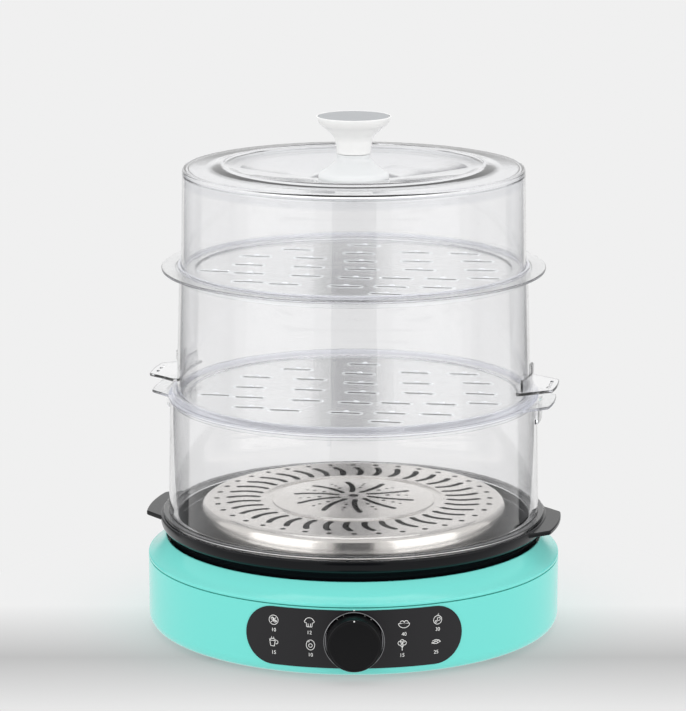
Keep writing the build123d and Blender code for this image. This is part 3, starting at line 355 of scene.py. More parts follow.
# ---- modelling ------------------------------------------------------------------------------------
def deselect():
    if bpy.context.object and bpy.context.object.mode != "OBJECT":
        bpy.ops.object.mode_set(mode="OBJECT")
    bpy.ops.object.select_all(action="DESELECT")


def only(piece):
    """Makes one piece the selected and active one."""
    deselect()
    piece.select_set(True)
    bpy.context.view_layer.objects.active = piece


def leave_edit():
    """Turns all normals outward and leaves edit mode."""
    bpy.ops.mesh.select_all(action="SELECT")
    bpy.ops.mesh.normals_make_consistent(inside=False)
    bpy.ops.object.mode_set(mode="OBJECT")


def bevelled(piece, width, segments, angle):
    """Rounds the edges that are sharper than an angle; the width is in mm."""
    only(piece)
    edge = piece.modifiers.new("edges", "BEVEL")
    edge.width = width * MM
    edge.segments = segments
    edge.limit_method = "ANGLE"
    edge.angle_limit = radians(angle)
    bpy.ops.object.modifier_apply(modifier="edges")


def polar(radius, direction):
    """A place in plan by its radius and its direction in degrees."""
    return radius * cos(radians(direction)), radius * sin(radians(direction))


def hole_outline(centre, radius, half_count):
    """Plan of a round hole with twice half_count corners."""
    turns = [i * pi / half_count for i in range(2 * half_count)]
    return [(centre[0] + radius * cos(turn), centre[1] + radius * sin(turn)) for turn in turns]


def rounded(corners, steps=5):
    """Corners as (x, y) or (x, y, radius) in mm to points whose corners are rounded off."""
    points = []
    count = len(corners)
    for index, corner in enumerate(corners):
        here = Vector(corner[:2])
        radius = corner[2] if len(corner) > 2 else 0.0
        if radius <= 0:
            points.append(here)
            continue
        back = Vector(corners[index - 1][:2]) - here
        ahead = Vector(corners[(index + 1) % count][:2]) - here
        cut = min(radius, back.length * 0.49, ahead.length * 0.49)
        start, end = here + back.normalized() * cut, here + ahead.normalized() * cut
        for step in range(steps + 1):
            t = step / steps
            points.append(start * (1 - t) ** 2 + here * 2 * t * (1 - t) + end * t ** 2)
    return points


def outline_object(name, points, fill):
    """A circle primitive whose vertices are moved to a closed outline in plan (mm)."""
    deselect()
    bpy.ops.mesh.primitive_circle_add(vertices=len(points), radius=0.1, fill_type=fill)
    piece = bpy.context.object
    piece.name = name
    for vertex, point in zip(piece.data.vertices, points):
        vertex.co = (point[0] * MM, point[1] * MM, 0)
    return piece


def smooth(piece, angle=30.0):
    """Smooth shading whose normals follow the large faces, so that a long wall stays optically flat."""
    only(piece)
    bpy.ops.object.shade_smooth_by_angle(angle=radians(angle))
    level = piece.modifiers.new("level", "WEIGHTED_NORMAL")
    level.mode = "FACE_AREA"
    level.weight = 100
    level.keep_sharp = True
    bpy.ops.object.modifier_apply(modifier="level")


def turned(name, corners, steps=192, fillet_steps=5):
    """A closed outline of (radius, height, fillet) in mm, spun about Z."""
    piece = outline_object(name, rounded(corners, fillet_steps), "NOTHING")
    for vertex in piece.data.vertices:
        vertex.co = (vertex.co.x, 0, vertex.co.y)
    bpy.ops.object.mode_set(mode="EDIT")
    bpy.ops.mesh.select_all(action="SELECT")
    bpy.ops.mesh.spin(steps=steps, angle=2 * pi, center=(0, 0, 0), axis=(0, 0, 1))
    bpy.ops.mesh.select_all(action="SELECT")
    bpy.ops.mesh.remove_doubles(threshold=1e-6)
    bpy.ops.mesh.dissolve_degenerate(threshold=1e-7)
    leave_edit()
    return piece


def slab(name, points, z0, z1, bevel=0.4, segments=3):
    """A flat piece with a given outline in plan and rounded edges."""
    piece = outline_object(name, points, "NGON")
    for vertex in piece.data.vertices:
        vertex.co.z = z0 * MM
    bpy.ops.object.mode_set(mode="EDIT")
    bpy.ops.mesh.select_all(action="SELECT")
    bpy.ops.mesh.extrude_region_move(TRANSFORM_OT_translate={"value": (0, 0, (z1 - z0) * MM)})
    leave_edit()
    if bevel > 0:
        bevelled(piece, bevel, segments, 50)
    return piece


def moved(piece, matrix):
    piece.data.transform(matrix)
    piece.data.update()
    return piece


def stood(piece, x, z):
    """Turns a piece that looks along Z so that it looks along -Y, and sets it at x and z in mm."""
    return moved(piece, Matrix.Translation((x * MM, 0, z * MM)) @ Matrix.Rotation(pi / 2, 4, "X"))


def copied(piece, name, matrix):
    """A copy with a mesh of its own, moved."""
    twin = piece.copy()
    twin.data = piece.data.copy()
    twin.name = name
    bpy.context.scene.collection.objects.link(twin)
    return moved(twin, matrix)


def tubes(name, lines, radius, resolution, closed=False):
    """A mesh of round tubes that follow lines of points, all in metres."""
    curve = bpy.data.curves.new(name, "CURVE")
    curve.dimensions = "3D"
    curve.bevel_depth = radius
    curve.bevel_resolution = resolution
    curve.use_fill_caps = not closed
    for points in lines:
        spline = curve.splines.new("POLY")
        spline.points.add(len(points) - 1)
        spline.use_cyclic_u = closed
        for spot, point in zip(spline.points, points):
            spot.co = (*point, 1)
    piece = bpy.data.objects.new(name, curve)
    bpy.context.scene.collection.objects.link(piece)
    only(piece)
    bpy.ops.object.convert(target="MESH")
    return bpy.context.object


def joined(name, pieces):
    deselect()
    for piece in pieces:
        piece.select_set(True)
    bpy.context.view_layer.objects.active = pieces[0]
    if len(pieces) > 1:
        bpy.ops.object.join()
    pieces[0].name = name
    return pieces[0]


def cut(piece, cutter):
    """Takes one mesh out of another."""
    only(piece)
    hole = piece.modifiers.new("holes", "BOOLEAN")
    hole.operation = "DIFFERENCE"
    hole.solver = "EXACT"
    hole.object = cutter
    bpy.ops.object.modifier_apply(modifier="holes")
    bpy.data.objects.remove(cutter)
    return piece


def bore_dial(piece):
    """Drills the dial's bore through a piece of the front."""
    deselect()
    bpy.ops.mesh.primitive_cylinder_add(
        vertices=96, radius=DIAL_BORE_R * MM, depth=DIAL_BORE_DEPTH * MM,
        location=(0, -DIAL_BORE_REACH * MM, KNOB_Z * MM), rotation=(pi / 2, 0, 0))
    cut(piece, bpy.context.object)


def dress(piece, material, body, slot, *nodes, angle=30.0):
    """Gives a finished piece its shading, material and body, and hides the solids it stands for."""
    smooth(piece, angle)
    piece.data.materials.clear()
    piece.data.materials.append(material)
    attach(piece, body)
    if nodes:
        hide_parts(*nodes)
    return piece


def paint_rim_band(piece, slots, inner, outer, low):
    """Gives a tray's rim the painted band finish and its slots' walls the shaded one."""
    piece.data.materials.append(painted_band_san())
    piece.data.materials.append(shaded_san())
    for polygon in piece.data.polygons:
        reach = hypot(polygon.center.x, polygon.center.y) / MM
        if inner < reach < outer and polygon.center.z > low * MM:
            polygon.material_index = 1
        elif reach < slots and abs(polygon.normal.z) < 0.3:
            polygon.material_index = 2


def finish_node(node, material):
    """A new material on a solid that stays as it is."""
    mesh = NODES[node].data
    mesh.materials.clear()
    mesh.materials.append(material)
    for polygon in mesh.polygons:
        polygon.material_index = 0


def grip_outline(root_r, tip_r, root_half, tip_half, fillet):
    """Plan of a grip that points along +X."""
    a, b = radians(root_half), radians(tip_half)
    inner = root_r - 3.2
    turns = [a - a * step / 4 for step in range(9)]
    corners = [(inner * cos(turn), inner * sin(turn)) for turn in turns]
    corners.append((root_r * cos(a), -root_r * sin(a), fillet))
    for step in range(9):
        angle = -b + 2 * b * step / 8
        corner = (tip_r * cos(angle), tip_r * sin(angle))
        corners.append(corner + ((fillet,) if step in (0, 8) else ()))
    corners.append((root_r * cos(a), root_r * sin(a), fillet))
    return rounded(corners, 4)


def stadium(length, width, steps=8):
    """Plan of a straight slot along X."""
    points = []
    for side in (1, -1):
        for step in range(steps + 1):
            angle = -pi / 2 + pi * step / steps
            x = (length - width) / 2 + width / 2 * cos(angle)
            points.append((side * x, side * width / 2 * sin(angle)))
    return points


def wrap(piece, radius, depth=1.0):
    """Bends a flat piece in the XZ plane round the front of the base; its thickness is along -Y."""
    for vertex in piece.data.vertices:
        angle = vertex.co.x / (radius * MM)
        reach = radius * MM - vertex.co.y * depth
        vertex.co = (reach * sin(angle), -reach * cos(angle), vertex.co.z)
    piece.data.update()
    return piece


# ---- settings -------------------------------------------------------------------------------------
class SteamerColours(bpy.types.PropertyGroup):
    shell: bpy.props.FloatVectorProperty(
        name="Shell", description="Colour of the base", subtype="COLOR", size=3, min=0, max=1,
        default=linear("72e0d6"))
    panel: bpy.props.FloatVectorProperty(
        name="Panel", description="Colour of the control panel", subtype="COLOR", size=3, min=0, max=1,
        default=linear("19181b"))
    dial: bpy.props.FloatVectorProperty(
        name="Dial", description="Colour of the control knob", subtype="COLOR", size=3, min=0, max=1,
        default=linear("09090b"))
    pan: bpy.props.FloatVectorProperty(
        name="Pan", description="Colour of the pan's coating", subtype="COLOR", size=3, min=0, max=1,
        default=linear("0b0c0f"))
    clear: bpy.props.FloatVectorProperty(
        name="Clear walls", description="Tint of the clear walls", subtype="COLOR", size=3, min=0, max=1,
        default=(0.985, 0.985, 0.99))
    tray: bpy.props.FloatVectorProperty(
        name="Trays", description="Tint of the clear trays", subtype="COLOR", size=3, min=0, max=1,
        default=(0.975, 0.98, 0.985))
    ground: bpy.props.FloatVectorProperty(
        name="Floor", description="Colour of the floor", subtype="COLOR", size=3, min=0, max=1,
        default=linear("f0f0f0"))


class SteamerSizes(bpy.types.PropertyGroup):
    wall: bpy.props.FloatProperty(
        name="Clear wall", description="Thickness of the clear walls", subtype="DISTANCE", unit="LENGTH",
        min=0.001, max=0.005, default=0.0024)
    seam: bpy.props.FloatProperty(
        name="Seam", description="Joint between the housing and the top cover", subtype="DISTANCE",
        unit="LENGTH",
        min=0.0, max=0.002, default=0.0008)
    figure: bpy.props.FloatProperty(
        name="Figures", description="Height of the numbers on the panel", subtype="DISTANCE", unit="LENGTH",
        min=0.001, max=0.005, default=0.0026)
    stroke: bpy.props.FloatProperty(
        name="Stroke", description="Line width of the symbols on the panel", subtype="DISTANCE",
        unit="LENGTH",
        min=0.0001, max=0.001, default=0.00045)


# ---- stage ----------------------------------------------------------------------------------------
class STEAMER_OT_stage(bpy.types.Operator):
    """Camera, floor, world and lamps"""

    bl_idname = "steamer.stage"
    bl_label = "Stage"

    def execute(self, context):
        scene = context.scene
        scene.view_settings.view_transform = "Standard"
        deselect()
        bpy.ops.object.camera_add(location=(-0.0077, -2.3959, 0.7162), rotation=(radians(77.81), 0, 0))
        camera = context.object
        camera.data.lens = 171.2
        camera.data.sensor_width = 36.0
        camera.data.clip_end = 50.0
        scene.camera = camera
        self.floor(context)
        self.world(scene)
        self.lamps()
        return {"FINISHED"}

    def floor(self, context):
        bpy.ops.mesh.primitive_plane_add(size=24.0, location=(0, 0, 0))
        ground = context.object
        ground.name = "floor"
        material, tree = start_material("sweep_painted_shade")
        colour = (*context.scene.steamer_colours.ground, 1.0)
        # Painted shade: the sweep's colour darkens in a soft band just under the front and is even beyond
        along = object_axes(tree)["Y"]
        behind = ramp(tree, along, -0.095, 0.036, 0.533, 0.871)
        before = ramp(tree, along, -0.21, -0.095, 0.80, 0.533)
        tone = larger(tree, behind, before)
        # The camera and the clear walls see the painted shade band as a glow
        shown = add_node(tree, "ShaderNodeEmission", {"Strength": 1.0}, {"Color": tone}).outputs["Emission"]
        diffuse = add_node(tree, "ShaderNodeBsdfDiffuse", {"Roughness": 0.3}, {"Color": tone})
        lit = add_node(tree, "ShaderNodeBsdfDiffuse", {"Color": colour, "Roughness": 0.3})
        glow = add_node(tree, "ShaderNodeEmission", {"Color": colour, "Strength": 1.0}).outputs["Emission"]
        place = add_node(tree, "ShaderNodeTexCoord")
        length = add_node(
            tree, "ShaderNodeVectorMath", links={0: place.outputs["Object"]}, operation="LENGTH")
        far = ramp(tree, length.outputs["Value"], 0.15, 0.30, 0.55, 1.0, "SMOOTHSTEP")
        path = add_node(tree, "ShaderNodeLightPath")
        seen = larger(tree, path.outputs["Is Camera Ray"], path.outputs["Is Transmission Ray"])
        direct = blend(tree, far, diffuse.outputs["BSDF"], shown)
        around = blend(tree, far, lit.outputs["BSDF"], glow)
        mirrored = blend(tree, path.outputs["Is Glossy Ray"], around, glow)
        mix = blend(tree, seen, mirrored, direct)
        add_node(tree, "ShaderNodeOutputMaterial", links={"Surface": mix})
        ground.data.materials.append(material)
        # Cards that only mirrors and lenses see, which paint reflections. The high one behind paints the dark
        # upright band on metal and trays, the near one in front paints it on the plate's skirt, the one on
        # the floor paints it on the walls, the side ones paint the walls' darker edges
        # Painted shade: a black sheet on the floor in front, seen only in mirrors, for the shade lying there
        floor_shade_black = solid_finish("painted_shade_black", linear("0c0c0e"), 0.9, 0.05, 2.0, 0.05)
        cards = {
            "card_floor": (floor_shade_black, ((-0.09, -0.35, 0.001), (0.09, -0.35, 0.001), (-0.55, -2.3, 0.001),
                (0.55, -2.3, 0.001))),
            "card_front": (self.cloth(),
                ((-0.14, -0.6, 0.11), (0.14, -0.6, 0.11), (-0.14, -0.6, 0.34), (0.14, -0.6, 0.34))),
            "card_back": (self.painted_back_reflection(),
                ((-0.16, 6.0, 1.34), (0.16, 6.0, 1.34), (-0.16, 6.0, 2.6), (0.16, 6.0, 2.6))),
            "card_left": (self.painted_side_reflection(),
                ((-0.33, 0.08, 0.0), (-0.5, 1.1, 0.0), (-0.33, 0.08, 0.5), (-0.5, 1.1, 0.5))),
            "card_right": (self.painted_side_reflection(),
                ((0.33, 0.08, 0.0), (0.5, 1.1, 0.0), (0.33, 0.08, 0.5), (0.5, 1.1, 0.5))),
        }
        for name, (finish, corners) in cards.items():
            deselect()
            bpy.ops.mesh.primitive_plane_add(size=1.0, location=(0, 0, 0))
            card = context.object
            card.name = name
            for vertex, corner in zip(card.data.vertices, corners):
                vertex.co = corner
            card.data.materials.append(finish)
            card.visible_camera = False
            card.visible_diffuse = False
            card.visible_shadow = False
            card.visible_transmission = name != "card_floor"

    def cloth(self):
        # Painted reflection: a dark glow that only mirrored light meets
        material, tree = start_material("painted_reflection_front")
        if tree is None:
            return material
        path = add_node(tree, "ShaderNodeLightPath")
        unmet = add_node(
            tree, "ShaderNodeMath", {1: 0.5}, {0: path.outputs["Glossy Depth"]}, operation="LESS_THAN")
        give_way(tree, unmet.outputs["Value"], (0.03, 0.03, 0.035), None)
        return material

    def painted_back_reflection(self):
        # Painted reflection: a dark glow that thins out towards both sides
        material, tree = start_material("painted_reflection_back")
        if tree is None:
            return material
        side = add_node(tree, "ShaderNodeMath", links={0: object_axes(tree)["X"]}, operation="ABSOLUTE")
        thin = ramp(tree, side.outputs["Value"], 0.045, 0.137, kind="SMOOTHSTEP")
        give_way(tree, thin, (0.10, 0.10, 0.11), None)
        return material

    def painted_side_reflection(self):
        # Painted reflection: a grey glow, dark at the foot and pale at the top, thinned out above and at the
        # far end
        material, tree = start_material("painted_reflection_sides")
        if tree is None:
            return material
        axes = object_axes(tree)
        rise = ramp(tree, axes["Z"], 0.06, 0.30, 0.20, 0.70)
        top = ramp(tree, axes["Z"], 0.33, 0.49, kind="SMOOTHSTEP")
        far = ramp(tree, axes["Y"], 0.45, 1.05, kind="SMOOTHSTEP")
        give_way(tree, larger(tree, top, far), (0.97, 0.98, 1.0), rise)
        return material

    def world(self, scene):
        world = bpy.data.worlds.new("studio")
        scene.world = world
        world.use_nodes = True
        tree = world.node_tree
        tree.nodes.clear()
        # What is seen, mirrored or looked through is a shade brighter than what lights the piece
        path = add_node(tree, "ShaderNodeLightPath")
        strength = ramp(tree, path.outputs["Is Diffuse Ray"], 0.0, 1.0, WORLD_SEEN, WORLD_LIGHT)
        background = add_node(
            tree, "ShaderNodeBackground", {"Color": (1.0, 1.0, 1.0, 1.0)}, {"Strength": strength})
        add_node(tree, "ShaderNodeOutputWorld", links={"Surface": background.outputs["Background"]})

    def lamps(self):
        # name, place, aim, width, height, power
        boxes = [
            ("softbox_left", (-2.1, -1.5, 0.85), (0, 0, 0.2), 2.6, 1.9, 17.0),
            ("softbox_right", (2.1, -1.5, 0.85), (0, 0, 0.2), 2.6, 1.9, 17.5),
            ("softbox_top", (0.0, 0.2, 2.0), (0, 0, 0.1), 1.6, 1.2, 9.0),
        ]
        for name, place, aim, width, height, power in boxes:
            deselect()
            bpy.ops.object.light_add(type="AREA", location=place)
            lamp = bpy.context.object
            lamp.name = name
            lamp.data.shape = "RECTANGLE"
            lamp.data.size = width
            lamp.data.size_y = height
            lamp.data.energy = power
            direction = Vector(aim) - Vector(place)
            lamp.rotation_euler = direction.to_track_quat("-Z", "Y").to_euler()


# ---- base -----------------------------------------------------------------------------------------
class STEAMER_OT_shell(bpy.types.Operator):
    """Lower housing and the cover with its hollow shoulder"""

    bl_idname = "steamer.shell"
    bl_label = "Base shell"

    def execute(self, context):
        colour = mint_abs()
        top = 52.9 - context.scene.steamer_sizes.seam / MM
        housing = turned("housing_shell", [
            (143.5, 2.5), (144.5, 2.5, 0.5), (148.2, 4.4, 2.4), (150, 8.5, 3.0), (150, top, 0.35),
            (147, top, 0.2),
            (147, 5.5), (146, 5.5), (146, 4), (143.5, 4),
        ], steps=256)
        bore_dial(housing)
        dress(housing, colour, "base", "mint_abs", "base_housing")

        cover = turned("cover_ring", [
            (150, 52.9, 0.3), (150, 54.8, 0.9), (148.7, 55.6, 0.8), (145.4, 57.6), (142.6, 60.2),
            (140.2, 63.1),
            (138.2, 66.2), (137.5, 67.3, 0.3), (136.6, 67.5, 0.4), (136.3, 66.9, 0.3), (136.3, 57),
            (138.5, 57),
            (138.5, 61.1), (141.6, 57.8), (144.9, 55.1), (144.9, 49.7), (146.9, 49.7), (146.9, 52.9),
        ], steps=256)
        dress(cover, colour, "base", "mint_abs", "base_top_cover")
        return {"FINISHED"}


def ring_stroke(x, y, radius, start=0.0, end=360.0, steps=16, squash=1.0):
    """Points of an arc in the panel's plane (mm)."""
    points = []
    for step in range(steps + 1):
        angle = radians(start + (end - start) * step / steps)
        points.append((x + radius * cos(angle), y + radius * squash * sin(angle)))
    return points


SYMBOLS = {
    "grain": [
        ring_stroke(0, 0, 3.4), [(-1.9, -1.9), (1.9, 1.9)], ring_stroke(-0.9, 1.0, 1.1, 0, 360, 10, 0.7),
        ring_stroke(1.1, -0.8, 1.1, 0, 360, 10, 0.7), [(-1.2, 2.2), (0.1, 0.1), (2.3, -1.4)],
    ],
    "bun": [
        ring_stroke(0, 0.3, 3.3, 20, 160, 12), ring_stroke(-2.6, 0.9, 0.9, 90, 270, 8),
        [(-2.2, 0.1), (-1.8, -3.0)],
        [(-1.8, -3.0), (1.8, -3.0)], [(1.8, -3.0), (2.2, 0.1)], ring_stroke(2.6, 0.9, 0.9, -90, 90, 8),
        [(-0.7, -2.8), (-0.9, -0.6)], [(0.7, -2.8), (0.9, -0.6)],
    ],
    "cup": [
        [(-3.0, 2.0), (-2.3, -2.6)], [(-2.3, -2.6), (0.5, -2.6)], [(0.5, -2.6), (1.2, 2.0)],
        ring_stroke(-0.9, 2.0, 2.1, 0, 360, 14, 0.35), ring_stroke(1.9, 0.4, 1.3, -110, 100, 10),
        [(-1.8, 3.2), (-1.4, 4.0)], [(-0.2, 3.2), (0.2, 4.0)],
    ],
    "egg": [ring_stroke(0, 0, 3.0, 0, 360, 20, 1.2), ring_stroke(0, -0.4, 1.3, 0, 360, 12),
        [(-1.6, 2.0), (-0.6, 2.6)]],
    "bowl": [
        ring_stroke(0, 0.6, 4.0, 180, 360, 16, 0.8), [(-4.0, 0.6), (4.0, 0.6)],
        ring_stroke(-1.4, 1.0, 1.5, 0, 180, 10),
        ring_stroke(1.5, 1.0, 1.5, 0, 180, 10),
    ],
    "round": [
        ring_stroke(0, -0.4, 3.1, 0, 360, 20), ring_stroke(0.8, 0.2, 1.2, 0, 360, 10), [(0, 2.7), (0.7, 4.0)],
        ring_stroke(-1.2, -1.4, 0.7, 0, 360, 8),
    ],
    "stalk": [
        [(0, -3.8), (0, 0.4)], ring_stroke(-1.5, 1.6, 1.5, 0, 360, 12),
        ring_stroke(1.5, 1.6, 1.5, 0, 360, 12),
        ring_stroke(0, 2.7, 1.4, 0, 360, 12), [(-1.2, -0.1), (0, -1.6)], [(1.2, -0.1), (0, -1.6)],
    ],
    "leaf": [
        ring_stroke(-0.2, -2.6, 4.4, 35, 128, 12), ring_stroke(-0.4, 3.4, 4.4, -132, -42, 12),
        [(-3.4, -0.6), (2.4, 1.4)],
        [(-1.2, 0.2), (-0.6, 1.4)], [(0.4, 0.7), (1.2, -0.6)],
    ],
}
# symbol, figure, direction from the front in degrees, height in mm
MARKS = [
    ("grain", "10", -21.8, 41.1), ("bun", "12", -11.9, 41.2), ("cup", "15", -21.8, 24.8),
    ("egg", "10", -11.6, 25.2),
    ("bowl", "40", 13.3, 39.9), ("round", "30", 22.7, 41.2), ("stalk", "15", 12.8, 24.8),
    ("leaf", "25", 22.3, 24.8),
]


class STEAMER_OT_panel(bpy.types.Operator):
    """Wrapped control panel with its printed symbols and figures"""

    bl_idname = "steamer.panel"
    bl_label = "Control panel"

    def execute(self, context):
        end = 20.95
        half = radians(30) * BASE_R - end
        outline = []
        for side, start in ((1, -90), (-1, 90)):
            for step in range(25):
                angle = radians(start + 180 * step / 24)
                outline.append((side * half + end * cos(angle), 29.95 + end * sin(angle)))
        panel = outline_object("panel_film", outline, "NGON")
        for vertex in panel.data.vertices:
            vertex.co = (vertex.co.x, 0.5 * MM, vertex.co.y)
        bpy.ops.object.mode_set(mode="EDIT")
        for step in range(-36, 37):
            bpy.ops.mesh.select_all(action="SELECT")
            bpy.ops.mesh.bisect(plane_co=(step * 2 * MM, 0, 0), plane_no=(1, 0, 0))
        bpy.ops.mesh.select_all(action="SELECT")
        bpy.ops.mesh.extrude_region_move(TRANSFORM_OT_translate={"value": (0, -1.0 * MM, 0)})
        leave_edit()
        wrap(panel, BASE_R)
        bore_dial(panel)
        bevelled(panel, 0.25, 2, 60)
        dress(panel, printed_polycarbonate(), "base", "panel_black", "control_panel")

        ink = screen_ink()
        for index, (symbol, figure, direction, height) in enumerate(MARKS):
            centre = radians(direction) * PANEL_FACE
            self.symbol(context, f"symbol_{symbol}", SYMBOLS[symbol], centre, height, ink)
            self.figure(context, f"figure_{index + 1}", figure, centre, height - 7.2, ink)
        return {"FINISHED"}

    def symbol(self, context, name, strokes, x, z, ink):
        lines = [[((x + px) * MM, 0, (z + pz) * MM) for px, pz in points] for points in strokes]
        self.lay(tubes(name, lines, context.scene.steamer_sizes.stroke / 2, 1), ink)

    def figure(self, context, name, words, x, z, ink):
        deselect()
        bpy.ops.object.text_add(location=(0, 0, 0))
        piece = context.object
        piece.name = name
        piece.data.body = words
        piece.data.size = context.scene.steamer_sizes.figure * 1.4
        piece.data.align_x = "CENTER"
        piece.data.align_y = "CENTER"
        piece.data.extrude = 0.0002
        only(piece)
        bpy.ops.object.convert(target="MESH")
        self.lay(stood(context.object, x, z), ink)

    def lay(self, piece, ink):
        wrap(piece, PANEL_FACE, 0.25)
        dress(piece, ink, "base", "cap_grey")


class STEAMER_OT_dial(bpy.types.Operator):
    """Bright cup and the knob in it"""

    bl_idname = "steamer.dial"
    bl_label = "Dial"

    def execute(self, context):
        cup = turned("bezel_cup", [
            (3.1, 144), (20.9, 144), (20.9, 149.4), (21.4, 149.4, 0.2), (21.4, 151.2, 0.3),
            (20.9, 151.6, 0.25),
            (20.3, 151.3, 0.3), (20.3, 146), (3.1, 146),
        ], steps=128)
        stood(cup, 0, KNOB_Z)
        dress(cup, chromed_abs(), "base", "bezel_chrome", "knob_bezel")
        knob = turned("dial_knob", [
            (0, 147.5), (19.6, 147.5, 0.5), (19.35, 155.0), (19.0, 161.0, 1.0), (18.4, 162.3, 0.6),
            (17.4, 162.5, 0.4),
            (16.9, 162.1, 0.4), (0, 162.0),
        ], steps=128)
        stood(knob, 0, KNOB_Z)
        dress(knob, satin_black_abs(), "dial", "knob_black", "control_knob")
        ink = screen_ink()
        deselect()
        self.dot("dial_dot", (0, KNOB_Z + 17.9), 162.45, 0.55, ink, "dial")
        self.dot("panel_dot", (0, KNOB_Z + 22.3), 150.45, 0.5, ink, "base")
        for index, angle in enumerate((54, 68, 112, 126)):
            x, z = polar(20.0, angle)
            self.dot(f"dial_mark_{index + 1}", (x, KNOB_Z + z), 151.0, 0.28, ink, "base")
        return {"FINISHED"}

    def dot(self, name, place, reach, radius, ink, body):
        corners = [(0, reach - 0.4), (radius, reach - 0.4), (radius, reach + 0.05, 0.1), (0, reach + 0.05)]
        dress(stood(turned(name, corners, 24), *place), ink, body, "cap_grey")


class STEAMER_OT_insides(bpy.types.Operator):
    """Finishes of the heater, wiring and fasteners"""

    bl_idname = "steamer.insides"
    bl_label = "Insides"

    def execute(self, context):
        finishes = {
            mint_abs: ("floor_plate",),
            pressed_steel: ("heat_shield", "well_liner"),
            cast_aluminium: ("heating_plate", "sensor_plunger"),
            sheathed_steel: ("heating_element",),
            zinc_steel: ("housing_screws", "heater_screws", "encoder_shaft", "lid_knob_screw"),
            steatite: ("sensor_holder", "thermal_fuse"),
            silicone_sleeve: ("heater_leads",),
            nylon: ("terminal_block", "cord_clamp", "encoder_rotor"),
            circuit_laminate: ("power_board", "control_board"),
            potted_epoxy: ("relay", "power_capacitor", "encoder_body"),
            black_rubber: ("rubber_feet", "cord_gland", "lid_washer"),
        }
        for make, nodes in finishes.items():
            for node in nodes:
                finish_node(node, make())
        self.spring()
        return {"FINISHED"}

    def spring(self):
        low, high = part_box("sensor_spring")
        wire = SPRING_WIRE_R * MM
        reach = high[0] - wire
        foot, head = low[2] + wire, high[2] - wire
        steps = SPRING_TURNS * 24
        points = []
        for step in range(steps + 1):
            angle = 2 * pi * SPRING_TURNS * step / steps
            points.append((reach * cos(angle), reach * sin(angle), foot + (head - foot) * step / steps))
        spring = tubes("plate_spring", [points], wire, 2)
        dress(spring, zinc_steel(), "base", "screw_steel", "sensor_spring")
        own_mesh(spring)


# ---- pan and plate --------------------------------------------------------------------------------
class STEAMER_OT_pan(bpy.types.Operator):
    """Black pan with its two grips"""

    bl_idname = "steamer.pan"
    bl_label = "Pan"

    def execute(self, context):
        coat = non_stick_aluminium()
        pan = turned("pan_body", [
            (0, 42.3), (117.5, 42.3, 3), (124, 43.8, 3), (128.5, 47.5, 3), (131.2, 52.3, 3),
            (133.1, 60.3, 3), (134.6, 67.5, 2),
            (135.5, 70.5, 1.5), (137.5, 73.0, 1.5), (140.2, 75.5, 2.0), (141, 79.7, 1.5), (141, 82.2, 0.8),
            (140.2, 83, 0.6),
            (132.3, 83, 0.5), (131.8, 67.5, 3), (128.2, 52, 4), (123, 46.3, 3), (117.5, 45.1, 3), (0, 45.1),
        ], steps=256)
        grips = []
        outline = grip_outline(140.5, 151.5, 17, 10.6, 1.6)
        for index in range(2):
            grip = slab(f"pan_grip_{index}", outline, 79.0, 82.3, 0.9, 4)
            grips.append(moved(grip, Matrix.Rotation(TURN + pi * index, 4, "Z")))
        pan = joined("pan_body", [pan] + grips)
        dress(pan, coat, "pan", "pan_nonstick", "cooking_pan")
        return {"FINISHED"}


def curved_outline(start, start_deg, end, end_deg, bow, width, steps=8):
    """Plan of a bowed slot between two places given by radius and direction."""
    middle = (start + end) / 2
    middle_deg = (start_deg + end_deg) / 2 - degrees(bow / middle)
    a, b, c = (Vector(polar(*place)) for place in ((start, start_deg), (middle, middle_deg), (end, end_deg)))
    control = b * 2 - (a + c) / 2
    shares = [i / steps for i in range(steps + 1)]
    line = [a * (1 - t) ** 2 + control * 2 * t * (1 - t) + c * t ** 2 for t in shares]
    left, right = [], []
    for index, point in enumerate(line):
        ahead = (line[min(index + 1, steps)] - line[max(index - 1, 0)]).normalized()
        side = Vector((-ahead.y, ahead.x)) * width / 2
        left.append(point + side)
        right.append(point - side)
    caps = []
    for point, ahead in ((line[-1], line[-1] - line[-2]), (line[0], line[0] - line[1])):
        base = atan2(ahead.y, ahead.x)
        caps.append([point + Vector((cos(base + t), sin(base + t))) * width / 2 for t in
                     (pi / 2 - pi * i / 6 for i in range(1, 6))])
    return left + caps[0] + right[::-1] + caps[1]


class STEAMER_OT_plate(bpy.types.Operator):
    """Pressed steam plate with its slots and holes"""

    bl_idname = "steamer.plate"
    bl_label = "Steam plate"

    def execute(self, context):
        plate = turned("plate_disc", [
            (0, 93.3), (29.5, 92.8, 8), (59, 91.3, 1), (59.8, 90.1, 0.6), (65.2, 90.1, 0.6), (66, 91.3, 0.8),
            (109.2, 91.3, 4.4), (114.6, 66.3, 2), (115.1, 45.1), (116, 45.1), (115.5, 66.3, 2),
            (110.2, 92.2, 5.2), (66, 92.2, 0.8),
            (65.2, 91.0, 0.6), (59.8, 91.0, 0.6), (59, 92.2, 1), (29.5, 93.7, 8), (0, 94.2),
        ], steps=240, fillet_steps=8)
        tools = []
        for index in range(36):
            hole_deg = -90 + index * 10
            tools.append(hole_outline(polar(99.9, hole_deg), 2.2, 8))
            tools.append(curved_outline(70, hole_deg - 3.5, 91, hole_deg - 1.5, 2.3, 4.6))
        for index in range(10):
            star_deg = 96 + index * 36
            tools.append(curved_outline(12, star_deg, 43, star_deg, 2.0, 4.2))
            for radius, hole in ((25, 1.75), (33, 1.5), (39, 1.25)):
                tools.append(hole_outline(polar(radius, star_deg + 18), hole, 6))
        tools.append(hole_outline((0, 0), 4, 10))
        cutters = [slab(f"tool_{i}", points, 86, 98, 0) for i, points in enumerate(tools)]
        cut(plate, joined("plate_tools", cutters))
        dress(plate, satin_stainless(), "plate", "plate_steel", "steam_plate")
        return {"FINISHED"}


